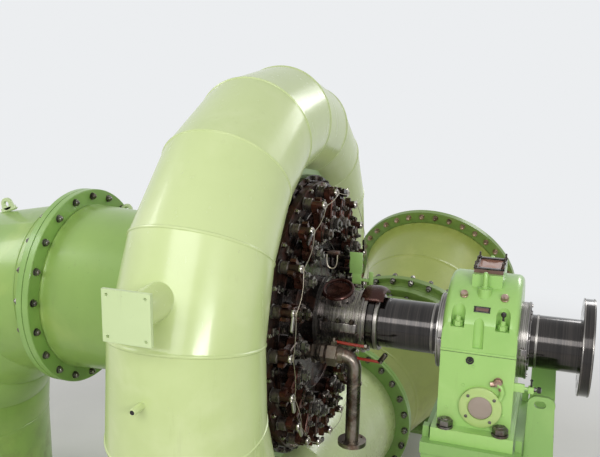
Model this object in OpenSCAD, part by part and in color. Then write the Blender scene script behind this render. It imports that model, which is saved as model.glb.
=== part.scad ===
// Horizontal shaft Francis turbine unit with spiral case, guide vane gear,
// shaft, pedestal bearing, inlet pipe and draft tube.
// The shaft lies along X, the inlet comes from +Y, and the floor is at z = 0.

/* [Machine] */
// Height of the shaft axis above the floor
axis_h = 2000; // [1980:10:2200]
// Thickness of each pair of bolted pipe flanges, for one flange
flange_t = 45; // [30:1:70]
// Wall of the pipes
pipe_wall = 16; // [8:1:30]
// Gap left between a seated piece and its seat
seat_gap = 0.3; // [0.1:0.1:0.5]

/* [Spiral case] */
// Radius of the inner edge of the spiral case
case_in_r = 873; // [860:1:900]
// Radius of the case tube at the front
case_tube_r = 384; // [350:1:400]
// Growth of the tube radius for each degree towards the inlet
case_growth = 0.76; // [0.60:0.01:0.85]
// Angle between two weld seams
case_step = 20; // [20:10:30]
// Radius of the straight inlet pipe at its flange
inlet_r = 530; // [500:1:560]
// Distance of the case inlet flange from the shaft plane
inlet_y = 1350; // [1250:10:1500]
// Radius of the stub pipe on the front of the case
stub_r = 82; // [60:1:110]
// Height of the stub pipe above the shaft axis
stub_z = 488; // [400:1:560]
// Distance of the stub plate from the shaft plane
stub_y = 1750; // [1700:5:1850]
// Width of the square stub plate
stub_plate_w = 228; // [200:1:300]
// Thickness of the stub plate
stub_plate_t = 18; // [10:1:30]
// Radius of the four holes in the stub plate
stub_hole_r = 7; // [4:0.5:12]

/* [Stay ring and covers] */
// Inner radius of the stay ring
stay_in_r = 800; // [780:1:820]
// Outer radius of the stay ring
stay_out_r = 950; // [930:1:960]
// Half width of the stay ring
stay_half = 140; // [120:1:160]
// Thickness of the cover flanges
cover_t = 50; // [40:1:70]
// Radius of the cover flanges
cover_r = 860; // [840:1:870]

/* [Guide vane gear] */
// Radius of the circle of guide vane stems
stem_circle_r = 580; // [570:1:590]
// Radius of a guide vane stem
stem_r = 25; // [18:1:30]
// Radius of a lever hub
hub_r = 50; // [42:1:58]
// Length of a lever hub along the stem
hub_len = 70; // [60:1:90]
// Thickness of a lever bar
lever_t = 34; // [20:1:44]
// Width of a lever bar
lever_w = 56; // [40:1:70]
// Radius of the circle of ring pins
pin_circle_r = 768; // [755:1:775]
// Radius of a ring pin
pin_r = 24; // [18:1:28]
// Inner radius of the regulating ring
ring_in_r = 700; // [680:1:710]
// Outer radius of the regulating ring
ring_out_r = 820; // [808:1:830]
// Thickness of the regulating ring
ring_t = 38; // [25:1:45]
// Side clearance of a ring pin in its lever fork
fork_gap = 1.5; // [1:0.1:3]

/* [Shaft] */
// Radius of the shaft
shaft_r = 150; // [130:1:160]
// Radial running clearance of shaft, stems and ring in their bores
run_gap = 0.05; // [0.02:0.01:0.10]
// Distance of the coupling face from the case centre plane
coupling_x = 1860; // [1800:10:2000]
// Radius of the coupling flange
coupling_r = 270; // [240:1:300]
// Thickness of the coupling flange
coupling_t = 62; // [40:1:80]
// Radius of the coupling bolt circle
coupling_bolt_r = 214; // [200:1:225]
// Radius of a coupling bolt hole
coupling_hole_r = 17; // [12:0.5:20]
// Radius of the shaft seal housing
seal_r = 186; // [175:1:200]
// Outer end of the shaft seal housing
seal_x = 604; // [580:1:640]
// Tilt of the seal hatch towards the front
hatch_tilt = 25; // [0:1:35]

// Radius of the drain pipe under the seal
drain_r = 42; // [36:1:46]
// Distance of the drain pipe in front of the shaft axis
drain_y = 262; // [255:1:280]
// Distance of the drain pipe below the shaft axis
drain_z = 145; // [130:1:160]
// Distance of the drain pipe's lower run from the case centre plane
drain_x = 575; // [550:1:600]
// Bend radius of the drain pipe
drain_bend = 75; // [65:1:90]

/* [Pedestal bearing] */
// Bearing face next to the turbine
bear_x = 1075; // [1040:5:1100]
// Width of the bearing along the shaft
bear_w = 400; // [360:5:420]
// Half depth of the bearing housing
bear_half = 330; // [300:5:350]
// Height of the cap above the shaft axis
cap_h = 368; // [350:1:400]
// Underside of the bearing foot below the shaft axis
foot_z = 510; // [500:5:560]
// Thickness of the bearing foot
foot_t = 78; // [50:1:90]
// Thickness of the sole plate under the bearing
sole_t = 65; // [50:1:80]
// Radius of the bearing end rings
end_ring_r = 215; // [200:1:230]
// Thickness of the bearing end rings
end_ring_t = 50; // [30:1:60]

/* [Draft tube] */
// Distance of the draft flange joint from the case centre plane
draft_x = 1435; // [1350:1:1550]
// Outer radius of the draft cone at the cover
draft_r1 = 500; // [450:1:540]
// Outer radius of the draft cone at its flange
draft_r2 = 560; // [540:1:570]
// Width of the draft flange outside the cone
draft_flange_w = 105; // [90:1:130]
// Bend radius of the draft elbow
bend_r = 1140; // [1000:10:1250]
// Growth of the draft elbow's radius from its joint to the floor
outlet_grow = 80; // [40:1:100]

/* [Inlet pipe] */
// Angle at which the inlet pipe rises
pen_el = 24.7; // [15:0.1:30]
// Angle at which the inlet pipe turns towards the bearing
pen_az = 5; // [0:0.5:10]
// Length of the inlet cone between its flanges
pen_len = 885; // [800:5:1000]
// Outer radius of the inlet cone at its large end
pen_r1 = 700; // [670:1:710]
// Outer radius of the inlet cone at its small end
pen_r2 = 560; // [540:1:580]
// Radius of the large inlet flange bolt circle
pen_bolt_r = 767; // [755:1:775]
// Radius of the large inlet flange
pen_flange_r = 815; // [800:1:840]
// Length of the take-apart joint between the inlet cone and the bend
joint_len = 245; // [220:5:300]
// Radius of the take-apart joint's flange on the cone
joint_rim_r = 745; // [700:1:760]
// Radius of the take-apart joint's clamp band
joint_band_r = 700; // [680:1:720]

/* [Hidden] */
$fn = 96;

vane_count = 20;
vane_step = 360 / vane_count;
// Spiral sections run from the bottom over the front and the top to the nose.
case_first = 270;
case_last = -70;
case_count = round((case_first - case_last) / case_step);
function tube_r(t) = case_tube_r + case_growth * (t - 180);
case_bottom_r = case_in_r + tube_r(case_first);
inlet_z = -case_bottom_r;
// Head cover front faces, from the stay ring outwards.
cover_x = stay_half + cover_t;
guide_x = cover_x + 2 * 8 + ring_t + 8;
boss_x = guide_x + 26;
ring_x = cover_x + 8;
hub_x = boss_x + 5;
lever_x = hub_x + 14;
pin_end_x = lever_x + lever_t + 22;
lever_len = pin_circle_r - stem_circle_r;
ring_eye_r = 850;
hub_face_x = boss_x + 26;
hub_face_r = 240;
hatch_x = hub_face_x + 112;
// The inlet cone runs from its large flange down to the upper joint.
pen_c = [490, 3200, -560];
pen_u = [sin(pen_az) * cos(pen_el), cos(pen_az) * cos(pen_el), sin(pen_el)];
// The inlet bend is a smooth curve from the case flange to the cone flange.
bend_from = [0, inlet_y + flange_t, inlet_z];
bend_to = pen_c - pen_u * (pen_len + flange_t + joint_len);
bend_pull = 620;
// Saddle under the inlet cone.
saddle_x = 470;
saddle_y = pen_c[1] - 440;
saddle_z = axis_h + pen_c[2] - 680;
saddle_web_z = saddle_z - 200;
joint_clear = 12;
function bend_at(t) = (2 * t * t * t - 3 * t * t + 1) * bend_from + (3 * t * t - 2 * t * t * t) * bend_to
    + (t * t * t - 2 * t * t + t) * bend_pull * [0, 1, 0] + (t * t * t - t * t) * bend_pull * pen_u;
function bend_face(t) = (1 - t) * [0, 1, 0] + t * pen_u;
joint_flange_r = 640;
upper_flange_r = 675;
joint_band = 100;
pipe_bolts = 28;
pipe_hole_r = 15;
draft_flange_r = draft_r2 + draft_flange_w;
outlet_r = draft_r2 + outlet_grow;
outlet_x = -draft_x - flange_t - bend_r;
cone_lug_a = 52;
sole_w = 760;
sole_l = 1560;
case_sole_t = 40;
// Tops of the case webs, inside the lower plates of the case.
web_front_z = axis_h - case_bottom_r - 95;
web_rear_z = axis_h - case_bottom_r - 345;
web_y = 600;
web_half = 280;
web_t = 40;
bear_mid = bear_x + bear_w / 2;
cap_round = 36;
seat_h = 400;
foot_over = 22;
foot_out = 72;
foot_hole_x = bear_w / 2 - 52;
foot_hole_y = bear_half + 34;
foot_hole_r = 20;
ped_top = axis_h - foot_z - sole_t;
bracket_y = 300;

// Raises a piece to the shaft axis.
module up() {
    translate([0, 0, axis_h]) children();
}

// Cylinder along X from a to b.
module xcyl(r, a, b) {
    translate([a, 0, 0]) rotate([0, 90, 0]) cylinder(r = r, h = b - a);
}

// Cone along X from a to b.
module xcone(ra, rb, a, b) {
    translate([a, 0, 0]) rotate([0, 90, 0]) cylinder(r1 = ra, r2 = rb, h = b - a);
}

// Block with its corner values given from low to high.
module block(a, b) {
    translate(a) cube([b[0] - a[0], b[1] - a[1], b[2] - a[2]]);
}

// Repeats a piece on a circle about the X axis.
module around_x(n, r, first = 0) {
    for (k = [0:n - 1])
        rotate([first + k * 360 / n, 0, 0]) translate([0, r, 0]) children();
}

// Plain round flange along Z with a bore.
module ring(r, bore, t) {
    difference() {
        cylinder(r = r, h = t);
        translate([0, 0, -1]) cylinder(r = bore, h = t + 2);
    }
}

// Round flange along Z with a bore and a bolt circle.
module flange(r, bore, t, bolt_r, n, hole_r) {
    difference() {
        cylinder(r = r, h = t);
        translate([0, 0, -1]) cylinder(r = bore, h = t + 2);
        for (k = [0:n - 1])
            rotate([0, 0, (k + 0.5) * 360 / n])
                translate([bolt_r, 0, -1]) cylinder(r = hole_r, h = t + 2);
    }
}

// Places a piece on the inlet cone axis, d along it from the large flange face.
module on_inlet(d) {
    translate(pen_c) rotate([pen_el - 90, 0, -pen_az]) translate([0, 0, d]) children();
}

// Thin disc on the spiral at angle t.
module case_disc(t) {
    rotate([t, 0, 0])
        translate([0, case_in_r + tube_r(t), 0])
            cylinder(r = tube_r(t), h = 0.2, center = true, $fn = 56);
}

module case_solid() {
    for (k = [0:case_count - 1])
        hull() {
            case_disc(case_first - k * case_step);
            case_disc(case_first - (k + 1) * case_step);
        }
    hull() {
        case_disc(case_first);
        translate([0, inlet_y - flange_t - 0.1, inlet_z])
            rotate([-90, 0, 0]) cylinder(r = inlet_r, h = 0.1, $fn = 56);
    }
}

module spiral_case() {
    color("#bcd480") {
        up() {
            difference() {
                union() {
                    case_solid();
                    // Stub pipe and threaded socket on the front.
                    translate([0, -stub_y + stub_plate_t, stub_z])
                        rotate([-90, 0, 0]) cylinder(r = stub_r, h = 320, $fn = 48);
                    translate([-25, -case_in_r - 2 * case_tube_r - 48, 42])
                        rotate([-90, 0, 0]) cylinder(r = 17, h = 110, $fn = 24);
                }
                xcyl((stay_out_r + seat_gap) / cos(180 / $fn), -700, 700);
                translate([-25, -case_in_r - 2 * case_tube_r - 49, 42])
                    rotate([-90, 0, 0]) cylinder(r = 10, h = 60, $fn = 24);
            }
        }
        // Webs that carry the case on its sole plate.
        block([-web_half, web_y, case_sole_t], [web_half, web_y + web_t, web_rear_z]);
        block([-web_half, -web_y - web_t, case_sole_t], [web_half, -web_y, web_front_z]);
    }
}

module case_sole_plate() {
    color("#9fc77c") difference() {
        block([-sole_w / 2, -sole_l / 2, 0], [sole_w / 2, sole_l / 2, case_sole_t]);
        for (sx = [-1, 1])
            for (sy = [-1, 0, 1])
                translate([sx * (sole_w / 2 - 55), sy * (sole_l / 2 - 70), -1])
                    cylinder(r = 17, h = case_sole_t + 2);
    }
}

module stay_ring() {
    color("#93b866") up() difference() {
        xcyl(stay_out_r, -stay_half, stay_half);
        xcyl(stay_in_r, -stay_half - 1, stay_half + 1);
    }
}

module head_cover() {
    color("#3a3836") up() difference() {
        union() {
            xcyl(stay_in_r - seat_gap, 0, stay_half);
            xcyl(cover_r, stay_half, cover_x);
            xcyl(ring_in_r - run_gap, cover_x, guide_x);
            around_x(vane_count, stem_circle_r) xcyl(hub_r + 8, guide_x - 20, boss_x);
            xcyl(hub_face_r, guide_x - 20, hub_face_x);
        }
        xcyl(shaft_r + 5, 60, hub_face_x + 1);
        around_x(vane_count, stem_circle_r) xcyl(stem_r + run_gap, 60, boss_x + 1);
    }
}

module draft_cover() {
    color("#93b866") up() difference() {
        union() {
            xcyl(stay_in_r - seat_gap, -stay_half, -0.5);
            xcyl(cover_r, -cover_x, -stay_half);
        }
        xcyl(draft_r1 - pipe_wall, -cover_x - 1, 1);
    }
}

// Lifting lug, a rounded plate with an eye, standing on a surface at height r.
module lug(r, t) {
    difference() {
        union() {
            translate([-60, r - 12, 0]) cube([120, 45, t]);
            translate([0, r + 42, 0]) cylinder(r = 45, h = t);
        }
        translate([0, r + 46, -1]) cylinder(r = 20, h = t + 2);
    }
}

module draft_cone() {
    color("#b3cf78") up() {
        difference() {
            xcone(draft_r2, draft_r1, -draft_x + flange_t, -cover_x);
            xcone(draft_r2 - pipe_wall, draft_r1 - pipe_wall, -draft_x + flange_t - 1, -cover_x + 1);
        }
        rotate([cone_lug_a, 0, 0]) translate([-draft_x + flange_t + 65, 0, -12]) lug(draft_r2 - 4, 24);
    }
}

module draft_joint() {
    color("#a9c872") up() translate([-draft_x - flange_t, 0, 0]) rotate([0, 90, 0]) {
        ring(draft_flange_r, draft_r2 - pipe_wall, 2 * flange_t);
    }
}

// Thin disc on the draft elbow at angle m.
module elbow_disc(m, wall, e) {
    translate([-draft_x - flange_t, 0, -bend_r])
        rotate([0, -m, 0]) translate([-e, 0, bend_r]) rotate([0, 90, 0])
            cylinder(r = draft_r2 + (outlet_r - draft_r2) * m / 90 - wall, h = 0.2, center = true, $fn = 56);
}

module elbow_solid(wall, e) {
    hull() {
        elbow_disc(0, wall, e > 0 ? -e : 0.1);
        elbow_disc(22.5, wall, 0);
    }
    hull() {
        elbow_disc(22.5, wall, 0);
        elbow_disc(45, wall, 0);
    }
    hull() {
        elbow_disc(45, wall, 0);
        elbow_disc(67.5, wall, 0);
    }
    hull() {
        elbow_disc(67.5, wall, 0);
        elbow_disc(90, wall, 0);
    }
    translate([outlet_x, 0, -axis_h + flange_t - (e > 0 ? 1 : 0)])
        cylinder(r = outlet_r - wall, h = axis_h - bend_r - flange_t + (e > 0 ? 1 : 0), $fn = 56);
}

module draft_elbow() {
    color("#b3cf78") up() difference() {
        union() {
            elbow_solid(0, 0);
            // Lifting lug standing on the back of the bend.
            translate([-draft_x - flange_t, 12, -bend_r]) rotate([0, -19.4, 0])
                translate([0, 0, bend_r + draft_r2 + 15]) rotate([90, 0, 0]) difference() {
                    union() {
                        translate([-60, -14, 0]) cube([120, 45, 24]);
                        translate([0, 42, 0]) cylinder(r = 45, h = 24, $fn = 32);
                    }
                    translate([0, 46, -1]) cylinder(r = 20, h = 26, $fn = 24);
                }
        }
        elbow_solid(pipe_wall, 1);
    }
}

module outlet_flange() {
    color("#a9c872") translate([outlet_x, 0, 0])
        flange(outlet_r + 110, outlet_r - pipe_wall, flange_t, outlet_r + 60, pipe_bolts, pipe_hole_r);
}

module stub_plate() {
    color("#a8d08c") up() difference() {
        block([-stub_plate_w / 2, -stub_y, stub_z - stub_plate_w / 2],
            [stub_plate_w / 2, -stub_y + stub_plate_t, stub_z + stub_plate_w / 2]);
        for (sx = [-1, 1])
            for (sz = [-1, 1])
                translate([sx * (stub_plate_w / 2 - 24), -stub_y - 1, stub_z + sz * (stub_plate_w / 2 - 24)])
                    rotate([-90, 0, 0]) cylinder(r = stub_hole_r, h = stub_plate_t + 2);
    }
}

module inlet_joint_lower() {
    color("#a9c872") up() translate([0, inlet_y - flange_t, inlet_z]) rotate([-90, 0, 0])
        ring(joint_flange_r, inlet_r - pipe_wall, 2 * flange_t);
}

// Thin disc across the inlet bend at t, from 0 at the case to 1 at the cone.
module bend_disc(t, wall, e) {
    d = bend_face(t);
    translate(bend_at(t) + e * d / norm(d))
        rotate([asin(d[2] / norm(d)) - 90, 0, -atan2(d[0], d[1])])
            cylinder(r = inlet_r + (pen_r2 - inlet_r) * t - wall, h = 0.2, center = true, $fn = 56);
}

module bend_solid(wall, e) {
    for (k = [0:2])
        hull() {
            bend_disc(k / 3, wall, k == 0 ? seat_gap - e : 0);
            bend_disc((k + 1) / 3, wall, k == 2 ? e - seat_gap : 0);
        }
}

module inlet_bend() {
    color("#c9c66a") up() difference() {
        bend_solid(0, 0);
        bend_solid(pipe_wall, 4);
    }
}

// Take-apart joint: a flange on the bend, a clamp band, and a wider flange on the cone.
module inlet_joint_upper() {
    color("#a9c872") up() on_inlet(-pen_len - flange_t - joint_len) difference() {
        union() {
            cylinder(r = upper_flange_r, h = flange_t);
            cylinder(r = pen_r2 + 60, h = joint_len);
            translate([0, 0, joint_len - flange_t - joint_band])
                cylinder(r = joint_band_r, h = joint_band + 1);
            translate([0, 0, joint_len - flange_t]) cylinder(r = joint_rim_r, h = flange_t);
        }
        translate([0, 0, -1]) cylinder(r = pen_r2 - pipe_wall, h = joint_len + 2);
    }
}

module inlet_cone() {
    color("#c9c66a") up() on_inlet(-pen_len - flange_t) difference() {
        cylinder(r1 = pen_r2, r2 = pen_r1, h = pen_len);
        translate([0, 0, -1])
            cylinder(r1 = pen_r2 - pipe_wall, r2 = pen_r1 - pipe_wall, h = pen_len + 2);
    }
}

module inlet_flange() {
    color("#a9c872") up() on_inlet(-flange_t)
        flange(pen_flange_r, pen_r1 - pipe_wall, flange_t, pen_bolt_r, 36, pipe_hole_r);
}

module inlet_support() {
    color("#93b866") difference() {
        union() {
            block([saddle_x - 390, saddle_y - 200, 0], [saddle_x + 390, saddle_y + 200, 40]);
            block([saddle_x - 290, saddle_y - 20, 40], [saddle_x + 290, saddle_y + 20, saddle_z]);
            block([saddle_x - 20, saddle_y - 160, 40], [saddle_x + 20, saddle_y + 160, saddle_web_z]);
        }
        up() on_inlet(-pen_len - flange_t)
            cylinder(r1 = pen_r2 + seat_gap, r2 = pen_r1 + seat_gap, h = pen_len);
        up() on_inlet(-pen_len - flange_t - joint_len - joint_clear)
            cylinder(r = joint_rim_r + joint_clear, h = joint_len + 2 * joint_clear);
        for (sx = [-1, 1])
            for (sy = [-1, 1])
                translate([saddle_x + sx * 340, saddle_y + sy * 150, -1]) cylinder(r = 15, h = 42);
    }
}

module seal_housing() {
    color("#45403c") up() {
        difference() {
            union() {
                xcyl(238, hub_face_x, hub_face_x + 26);
                xcyl(seal_r, hub_face_x + 26, seal_x);
                translate([hatch_x, 0, 0]) rotate([hatch_tilt, 0, 0]) cylinder(r = 92, h = 216);
            }
            xcyl(shaft_r + seat_gap, hub_face_x - 1, seal_x + 1);
            translate([hatch_x, 0, 0]) rotate([hatch_tilt, 0, 0])
                translate([0, 0, 202]) cylinder(r = 74, h = 20);
            for (gx = [seal_x - 165, seal_x - 125, seal_x - 70])
                difference() {
                    xcyl(seal_r + 5, gx, gx + 12);
                    xcyl(seal_r - 9, gx - 1, gx + 13);
                }
        }
    }
}

module seal_pipe() {
    down = drain_x - drain_bend;
    color("#8a8580") up() translate([0, -drain_y, -drain_z]) {
        difference() {
            union() {
                xcyl(drain_r + 15, guide_x, guide_x + 30);
                xcyl(drain_r, guide_x + 20, down);
                translate([down, 0, -drain_bend]) rotate([90, 0, 0])
                    rotate_extrude(angle = 90) translate([drain_bend, 0]) circle(r = drain_r);
                translate([drain_x, 0, -520]) cylinder(r = drain_r, h = 520 - drain_bend);
                translate([drain_x, 0, -545]) cylinder(r = 85, h = 25);
            }
            translate([drain_x, 0, -546]) cylinder(r = drain_r - 6, h = 300);
            for (k = [0:3])
                translate([drain_x + 64 * cos(45 + 90 * k), 64 * sin(45 + 90 * k), -546])
                    cylinder(r = 8, h = 27);
        }
    }
}

module bearing_bore(g) {
    xcyl(shaft_r + g, bear_x - 200, bear_x + bear_w + 200);
}

module bearing_base() {
    color("#96c579") up() difference() {
        union() {
            block([bear_x, -bear_half, -foot_z + foot_t], [bear_x + bear_w, bear_half, 0]);
            block([bear_x - foot_over, -bear_half - foot_out, -foot_z],
                [bear_x + bear_w + foot_over, bear_half + foot_out, -foot_z + foot_t]);
        }
        bearing_bore(run_gap);
        for (sx = [-1, 1])
            for (sy = [-1, 1])
                translate([bear_mid + sx * foot_hole_x, sy * foot_hole_y, -foot_z - 1])
                    cylinder(r = foot_hole_r, h = foot_t + 2);
    }
}

// Bearing cap, a rounded barrel about the shaft cut off at the front and back.
module cap_barrel() {
    intersection() {
        translate([bear_x, 0, 0]) rotate([0, 90, 0]) rotate_extrude() {
            square([cap_h - cap_round, bear_w]);
            translate([0, cap_round]) square([cap_h, bear_w - 2 * cap_round]);
            translate([cap_h - cap_round, cap_round]) circle(r = cap_round);
            translate([cap_h - cap_round, bear_w - cap_round]) circle(r = cap_round);
        }
        block([bear_x - 1, -bear_half, 0], [bear_x + bear_w + 1, bear_half, cap_h + 10]);
    }
}

module bearing_cap() {
    color("#96c579") up() difference() {
        union() {
            cap_barrel();
            // Seat of the oil window and bosses of the lifting eyes.
            block([bear_mid - 72, -165, 200], [bear_mid + 92, 165, seat_h]);
            for (sy = [-1, 1])
                translate([bear_mid + 3, sy * 200, 180]) cylinder(r = 38, h = 155);
        }
        bearing_bore(run_gap);
        // Pockets for the cap studs, and a grooved flat between them.
        for (sx = [-1, 1])
            for (sy = [-1, 1])
                translate([bear_mid + sx * 118, sy * (bear_half - 30), 140]) {
                    cylinder(r = 36, h = 150);
                    translate([-36, sy > 0 ? 0 : -50, 0]) cube([72, 50, 150]);
                }
        for (sy = [-1, 1])
            translate([bear_mid - 4, sy * (bear_half + 9), 30]) cylinder(r = 29, h = 200);
    }
}

module bearing_end_rings() {
    color("#8d8a86") up() difference() {
        union() {
            xcyl(end_ring_r, bear_x - end_ring_t, bear_x);
            xcyl(end_ring_r, bear_x + bear_w, bear_x + bear_w + end_ring_t);
        }
        bearing_bore(2);
    }
}

module bearing_cover() {
    color("#b9bd83") up() translate([bear_mid + 33, -bear_half - 16, -298]) rotate([-90, 0, 0])
        difference() {
            cylinder(r = 115, h = 16);
            translate([0, 0, -1]) cylinder(r = 54, h = 6);
        }
}

module bearing_window() {
    color("#8d6f66") up() difference() {
        block([bear_mid - 68, -130, seat_h], [bear_mid + 90, 130, seat_h + 22]);
        block([bear_mid - 50, -112, seat_h + 16], [bear_mid + 72, 112, seat_h + 30]);
    }
}

module bearing_sole_plate() {
    color("#8fbf73") up() difference() {
        union() {
            block([bear_x - 70, -bear_half - 110, -foot_z - sole_t],
                [bear_x + bear_w + 70, bear_half + 110, -foot_z]);
            // Jack screw blocks beside the foot.
            for (sx = [-1, 1])
                for (sy = [-1, 1])
                    translate([bear_mid + sx * (bear_w / 2 + 50) - 18, sy * (bear_half + 15) - 25, -foot_z])
                        cube([36, 50, 66]);
        }
        for (sx = [-1, 1])
            for (sy = [-1, 1])
                translate([bear_mid + sx * foot_hole_x, sy * foot_hole_y, -foot_z - sole_t - 1])
                    cylinder(r = foot_hole_r, h = sole_t + 2);
    }
}

// Upright plate on the coupling side of the pedestal, with a lifting hole at its top.
module side_bracket() {
    top = axis_h - 200;
    x0 = bear_x + bear_w;
    rotate([90, 0, 0]) translate([0, 0, -12]) linear_extrude(24) difference() {
        union() {
            polygon([[x0 + 60, 30], [x0 + 60, ped_top - 10], [x0 + 76, ped_top - 10], [x0 + 76, top - 60],
                [x0 + 130, top], [x0 + 175, top], [x0 + 215, top - 60], [x0 + 300, 30]]);
            translate([x0 + 124, top - 48]) circle(r = 48);
            translate([x0 + 172, top - 46]) circle(r = 46);
        }
        translate([x0 + 131, top - 46]) circle(r = 20);
        translate([x0 + 151, top - 46]) circle(r = 20);
        translate([x0 + 131, top - 66]) square([20, 40]);
    }
}

module bearing_pedestal() {
    color("#8fbf73") difference() {
        union() {
            block([bear_x - 65, -bear_half - 90, 40], [bear_x + bear_w + 65, bear_half + 90, ped_top]);
            block([bear_x - 125, -bear_half - 160, 0], [bear_x + bear_w + 365, bear_half + 160, 40]);
            for (sy = [-1, 1])
                translate([0, sy * bracket_y, 0]) side_bracket();
            block([bear_x + bear_w + 60, -bracket_y, ped_top - 330],
                [bear_x + bear_w + 200, bracket_y, ped_top - 300]);
        }
        for (sy = [-1, 1])
            translate([bear_x + bear_w + 325, sy * (bear_half + 115), -1]) cylinder(r = 17, h = 42);
        // Recessed side panels.
        for (sy = [-1, 1])
            translate([bear_x + 15, sy * (bear_half + 90) - 40, 140])
                cube([bear_w - 30, 80, ped_top - 280]);
        for (sx = [-1, 1])
            translate([bear_mid + sx * (bear_w / 2 + 65) - 40, -bear_half + 20, 140])
                cube([80, 2 * bear_half - 40, ped_top - 280]);
        for (sx = [-1, 1])
            for (sy = [-1, 1])
                translate([bear_mid + sx * (bear_w / 2 + 95), sy * (bear_half + 115), -1])
                    cylinder(r = 17, h = 42);
    }
}

module shaft() {
    color("#9a9692") up() difference() {
        union() {
            xcyl(shaft_r, 65, coupling_x - coupling_t);
            xcyl(coupling_r, coupling_x - coupling_t, coupling_x);
            xcyl(shaft_r + 22, seal_x + 6, seal_x + 40);
        }
        difference() {
            xcyl(shaft_r + 5, 722, 727);
            xcyl(shaft_r - 3, 721, 728);
        }
        xcyl(60, coupling_x - 8, coupling_x + 1);
        around_x(12, coupling_bolt_r, 15) xcyl(coupling_hole_r, coupling_x - coupling_t - 1, coupling_x + 1);
    }
}

module regulating_ring() {
    color("#4a3a33") up() {
        difference() {
            union() {
                xcyl(ring_out_r, ring_x, ring_x + ring_t);
                // Eye for the rod that turns the ring.
                rotate([vane_step / 2, 0, 0]) {
                    block([ring_x, ring_out_r - 60, -55], [ring_x + ring_t, ring_eye_r, 55]);
                    translate([0, ring_eye_r, 0]) xcyl(42, ring_x, ring_x + ring_t);
                }
            }
            xcyl(ring_in_r, ring_x - 1, ring_x + ring_t + 1);
            rotate([vane_step / 2, 0, 0])
                translate([0, ring_eye_r, 0]) xcyl(18, ring_x - 1, ring_x + ring_t + 1);
        }
        around_x(vane_count, pin_circle_r) xcyl(pin_r, ring_x + 12, pin_end_x);
    }
}

module lever(k) {
    color("#5a2f24") up() rotate([k * vane_step, 0, 0]) translate([0, stem_circle_r, 0]) {
        difference() {
            union() {
                xcyl(stem_r, 65, hub_x);
                xcyl(hub_r, hub_x, hub_x + hub_len);
                block([lever_x, 0, -lever_w / 2], [lever_x + lever_t, lever_len, lever_w / 2]);
                translate([0, lever_len - 8, 0]) xcyl(pin_r + fork_gap + 20, lever_x, lever_x + lever_t);
                block([lever_x, lever_len - 8, -pin_r - fork_gap - 20],
                    [lever_x + lever_t, lever_len + 26, pin_r + fork_gap + 20]);
                translate([0, 92, 0]) xcyl(13, lever_x + lever_t, lever_x + lever_t + 30);
            }
            translate([0, lever_len - 8, 0]) xcyl(pin_r + fork_gap, lever_x - 1, lever_x + lever_t + 1);
            block([lever_x - 1, lever_len - 8, -pin_r - fork_gap],
                [lever_x + lever_t + 1, lever_len + 60, pin_r + fork_gap]);
        }
    }
}

spiral_case();
stay_ring();
head_cover();
draft_cover();
draft_cone();
draft_joint();
draft_elbow();
outlet_flange();
case_sole_plate();
stub_plate();
inlet_joint_lower();
inlet_bend();
inlet_joint_upper();
inlet_cone();
inlet_flange();
inlet_support();
seal_housing();
seal_pipe();
bearing_base();
bearing_cap();
bearing_end_rings();
bearing_cover();
bearing_window();
bearing_sole_plate();
bearing_pedestal();
shaft();
regulating_ring();
lever(0);  // lever_01
lever(1);  // lever_02
lever(2);  // lever_03
lever(3);  // lever_04
lever(4);  // lever_05
lever(5);  // lever_06
lever(6);  // lever_07
lever(7);  // lever_08
lever(8);  // lever_09
lever(9);  // lever_10
lever(10);  // lever_11
lever(11);  // lever_12
lever(12);  // lever_13
lever(13);  // lever_14
lever(14);  // lever_15
lever(15);  // lever_16
lever(16);  // lever_17
lever(17);  // lever_18
lever(18);  // lever_19
lever(19);  // lever_20
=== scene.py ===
"""Dresses a horizontal shaft turbine unit: spiral case, guide vane gear, shaft,
pedestal bearing, inlet pipe and draft tube. Metres, shaft along X, floor at z = 0."""
import math
import bpy
import numpy as np
from mathutils import Matrix


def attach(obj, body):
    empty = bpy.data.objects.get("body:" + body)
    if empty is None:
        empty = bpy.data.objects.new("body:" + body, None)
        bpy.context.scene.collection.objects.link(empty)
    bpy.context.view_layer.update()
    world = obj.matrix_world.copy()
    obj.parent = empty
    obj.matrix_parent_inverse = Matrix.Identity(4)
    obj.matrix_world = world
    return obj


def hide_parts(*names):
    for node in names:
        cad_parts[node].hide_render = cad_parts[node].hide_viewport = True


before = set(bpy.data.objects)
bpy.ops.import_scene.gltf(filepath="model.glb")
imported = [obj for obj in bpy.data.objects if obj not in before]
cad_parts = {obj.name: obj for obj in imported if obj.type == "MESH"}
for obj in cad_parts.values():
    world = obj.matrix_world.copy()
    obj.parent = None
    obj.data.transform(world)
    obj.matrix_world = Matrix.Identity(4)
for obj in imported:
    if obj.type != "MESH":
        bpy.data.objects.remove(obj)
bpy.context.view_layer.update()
AXIS = 2.0  # height of the shaft
AROUND = 96  # points round a pipe
TAU = 2 * math.pi


# Shapes
def skin(points, ring=False):
    """Closed surface over rows of points[row, around]. Neighbouring rows are joined
    by four-sided faces; a ring also joins its last row to its first, and any other
    surface gets a middle point at each end."""
    rows, cols = points.shape[:2]
    index = np.arange(rows * cols).reshape(rows, cols)
    near = index if ring else index[:-1]
    far = np.roll(index, -1, axis=0) if ring else index[1:]
    quads = np.stack([near, np.roll(near, -1, 1), np.roll(far, -1, 1), far], -1).reshape(-1, 4)
    verts = points.reshape(-1, 3)
    tris = np.zeros((0, 3), int)
    if not ring:
        ends = np.stack([points[0].mean(0), points[-1].mean(0)])
        verts = np.concatenate([verts, ends])
        first, last = index[0], index[-1]
        low = np.stack([np.roll(first, -1), first, np.full(cols, rows * cols)], -1)
        high = np.stack([last, np.roll(last, -1), np.full(cols, rows * cols + 1)], -1)
        tris = np.concatenate([low, high])
    return outward((verts, quads, tris))


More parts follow.
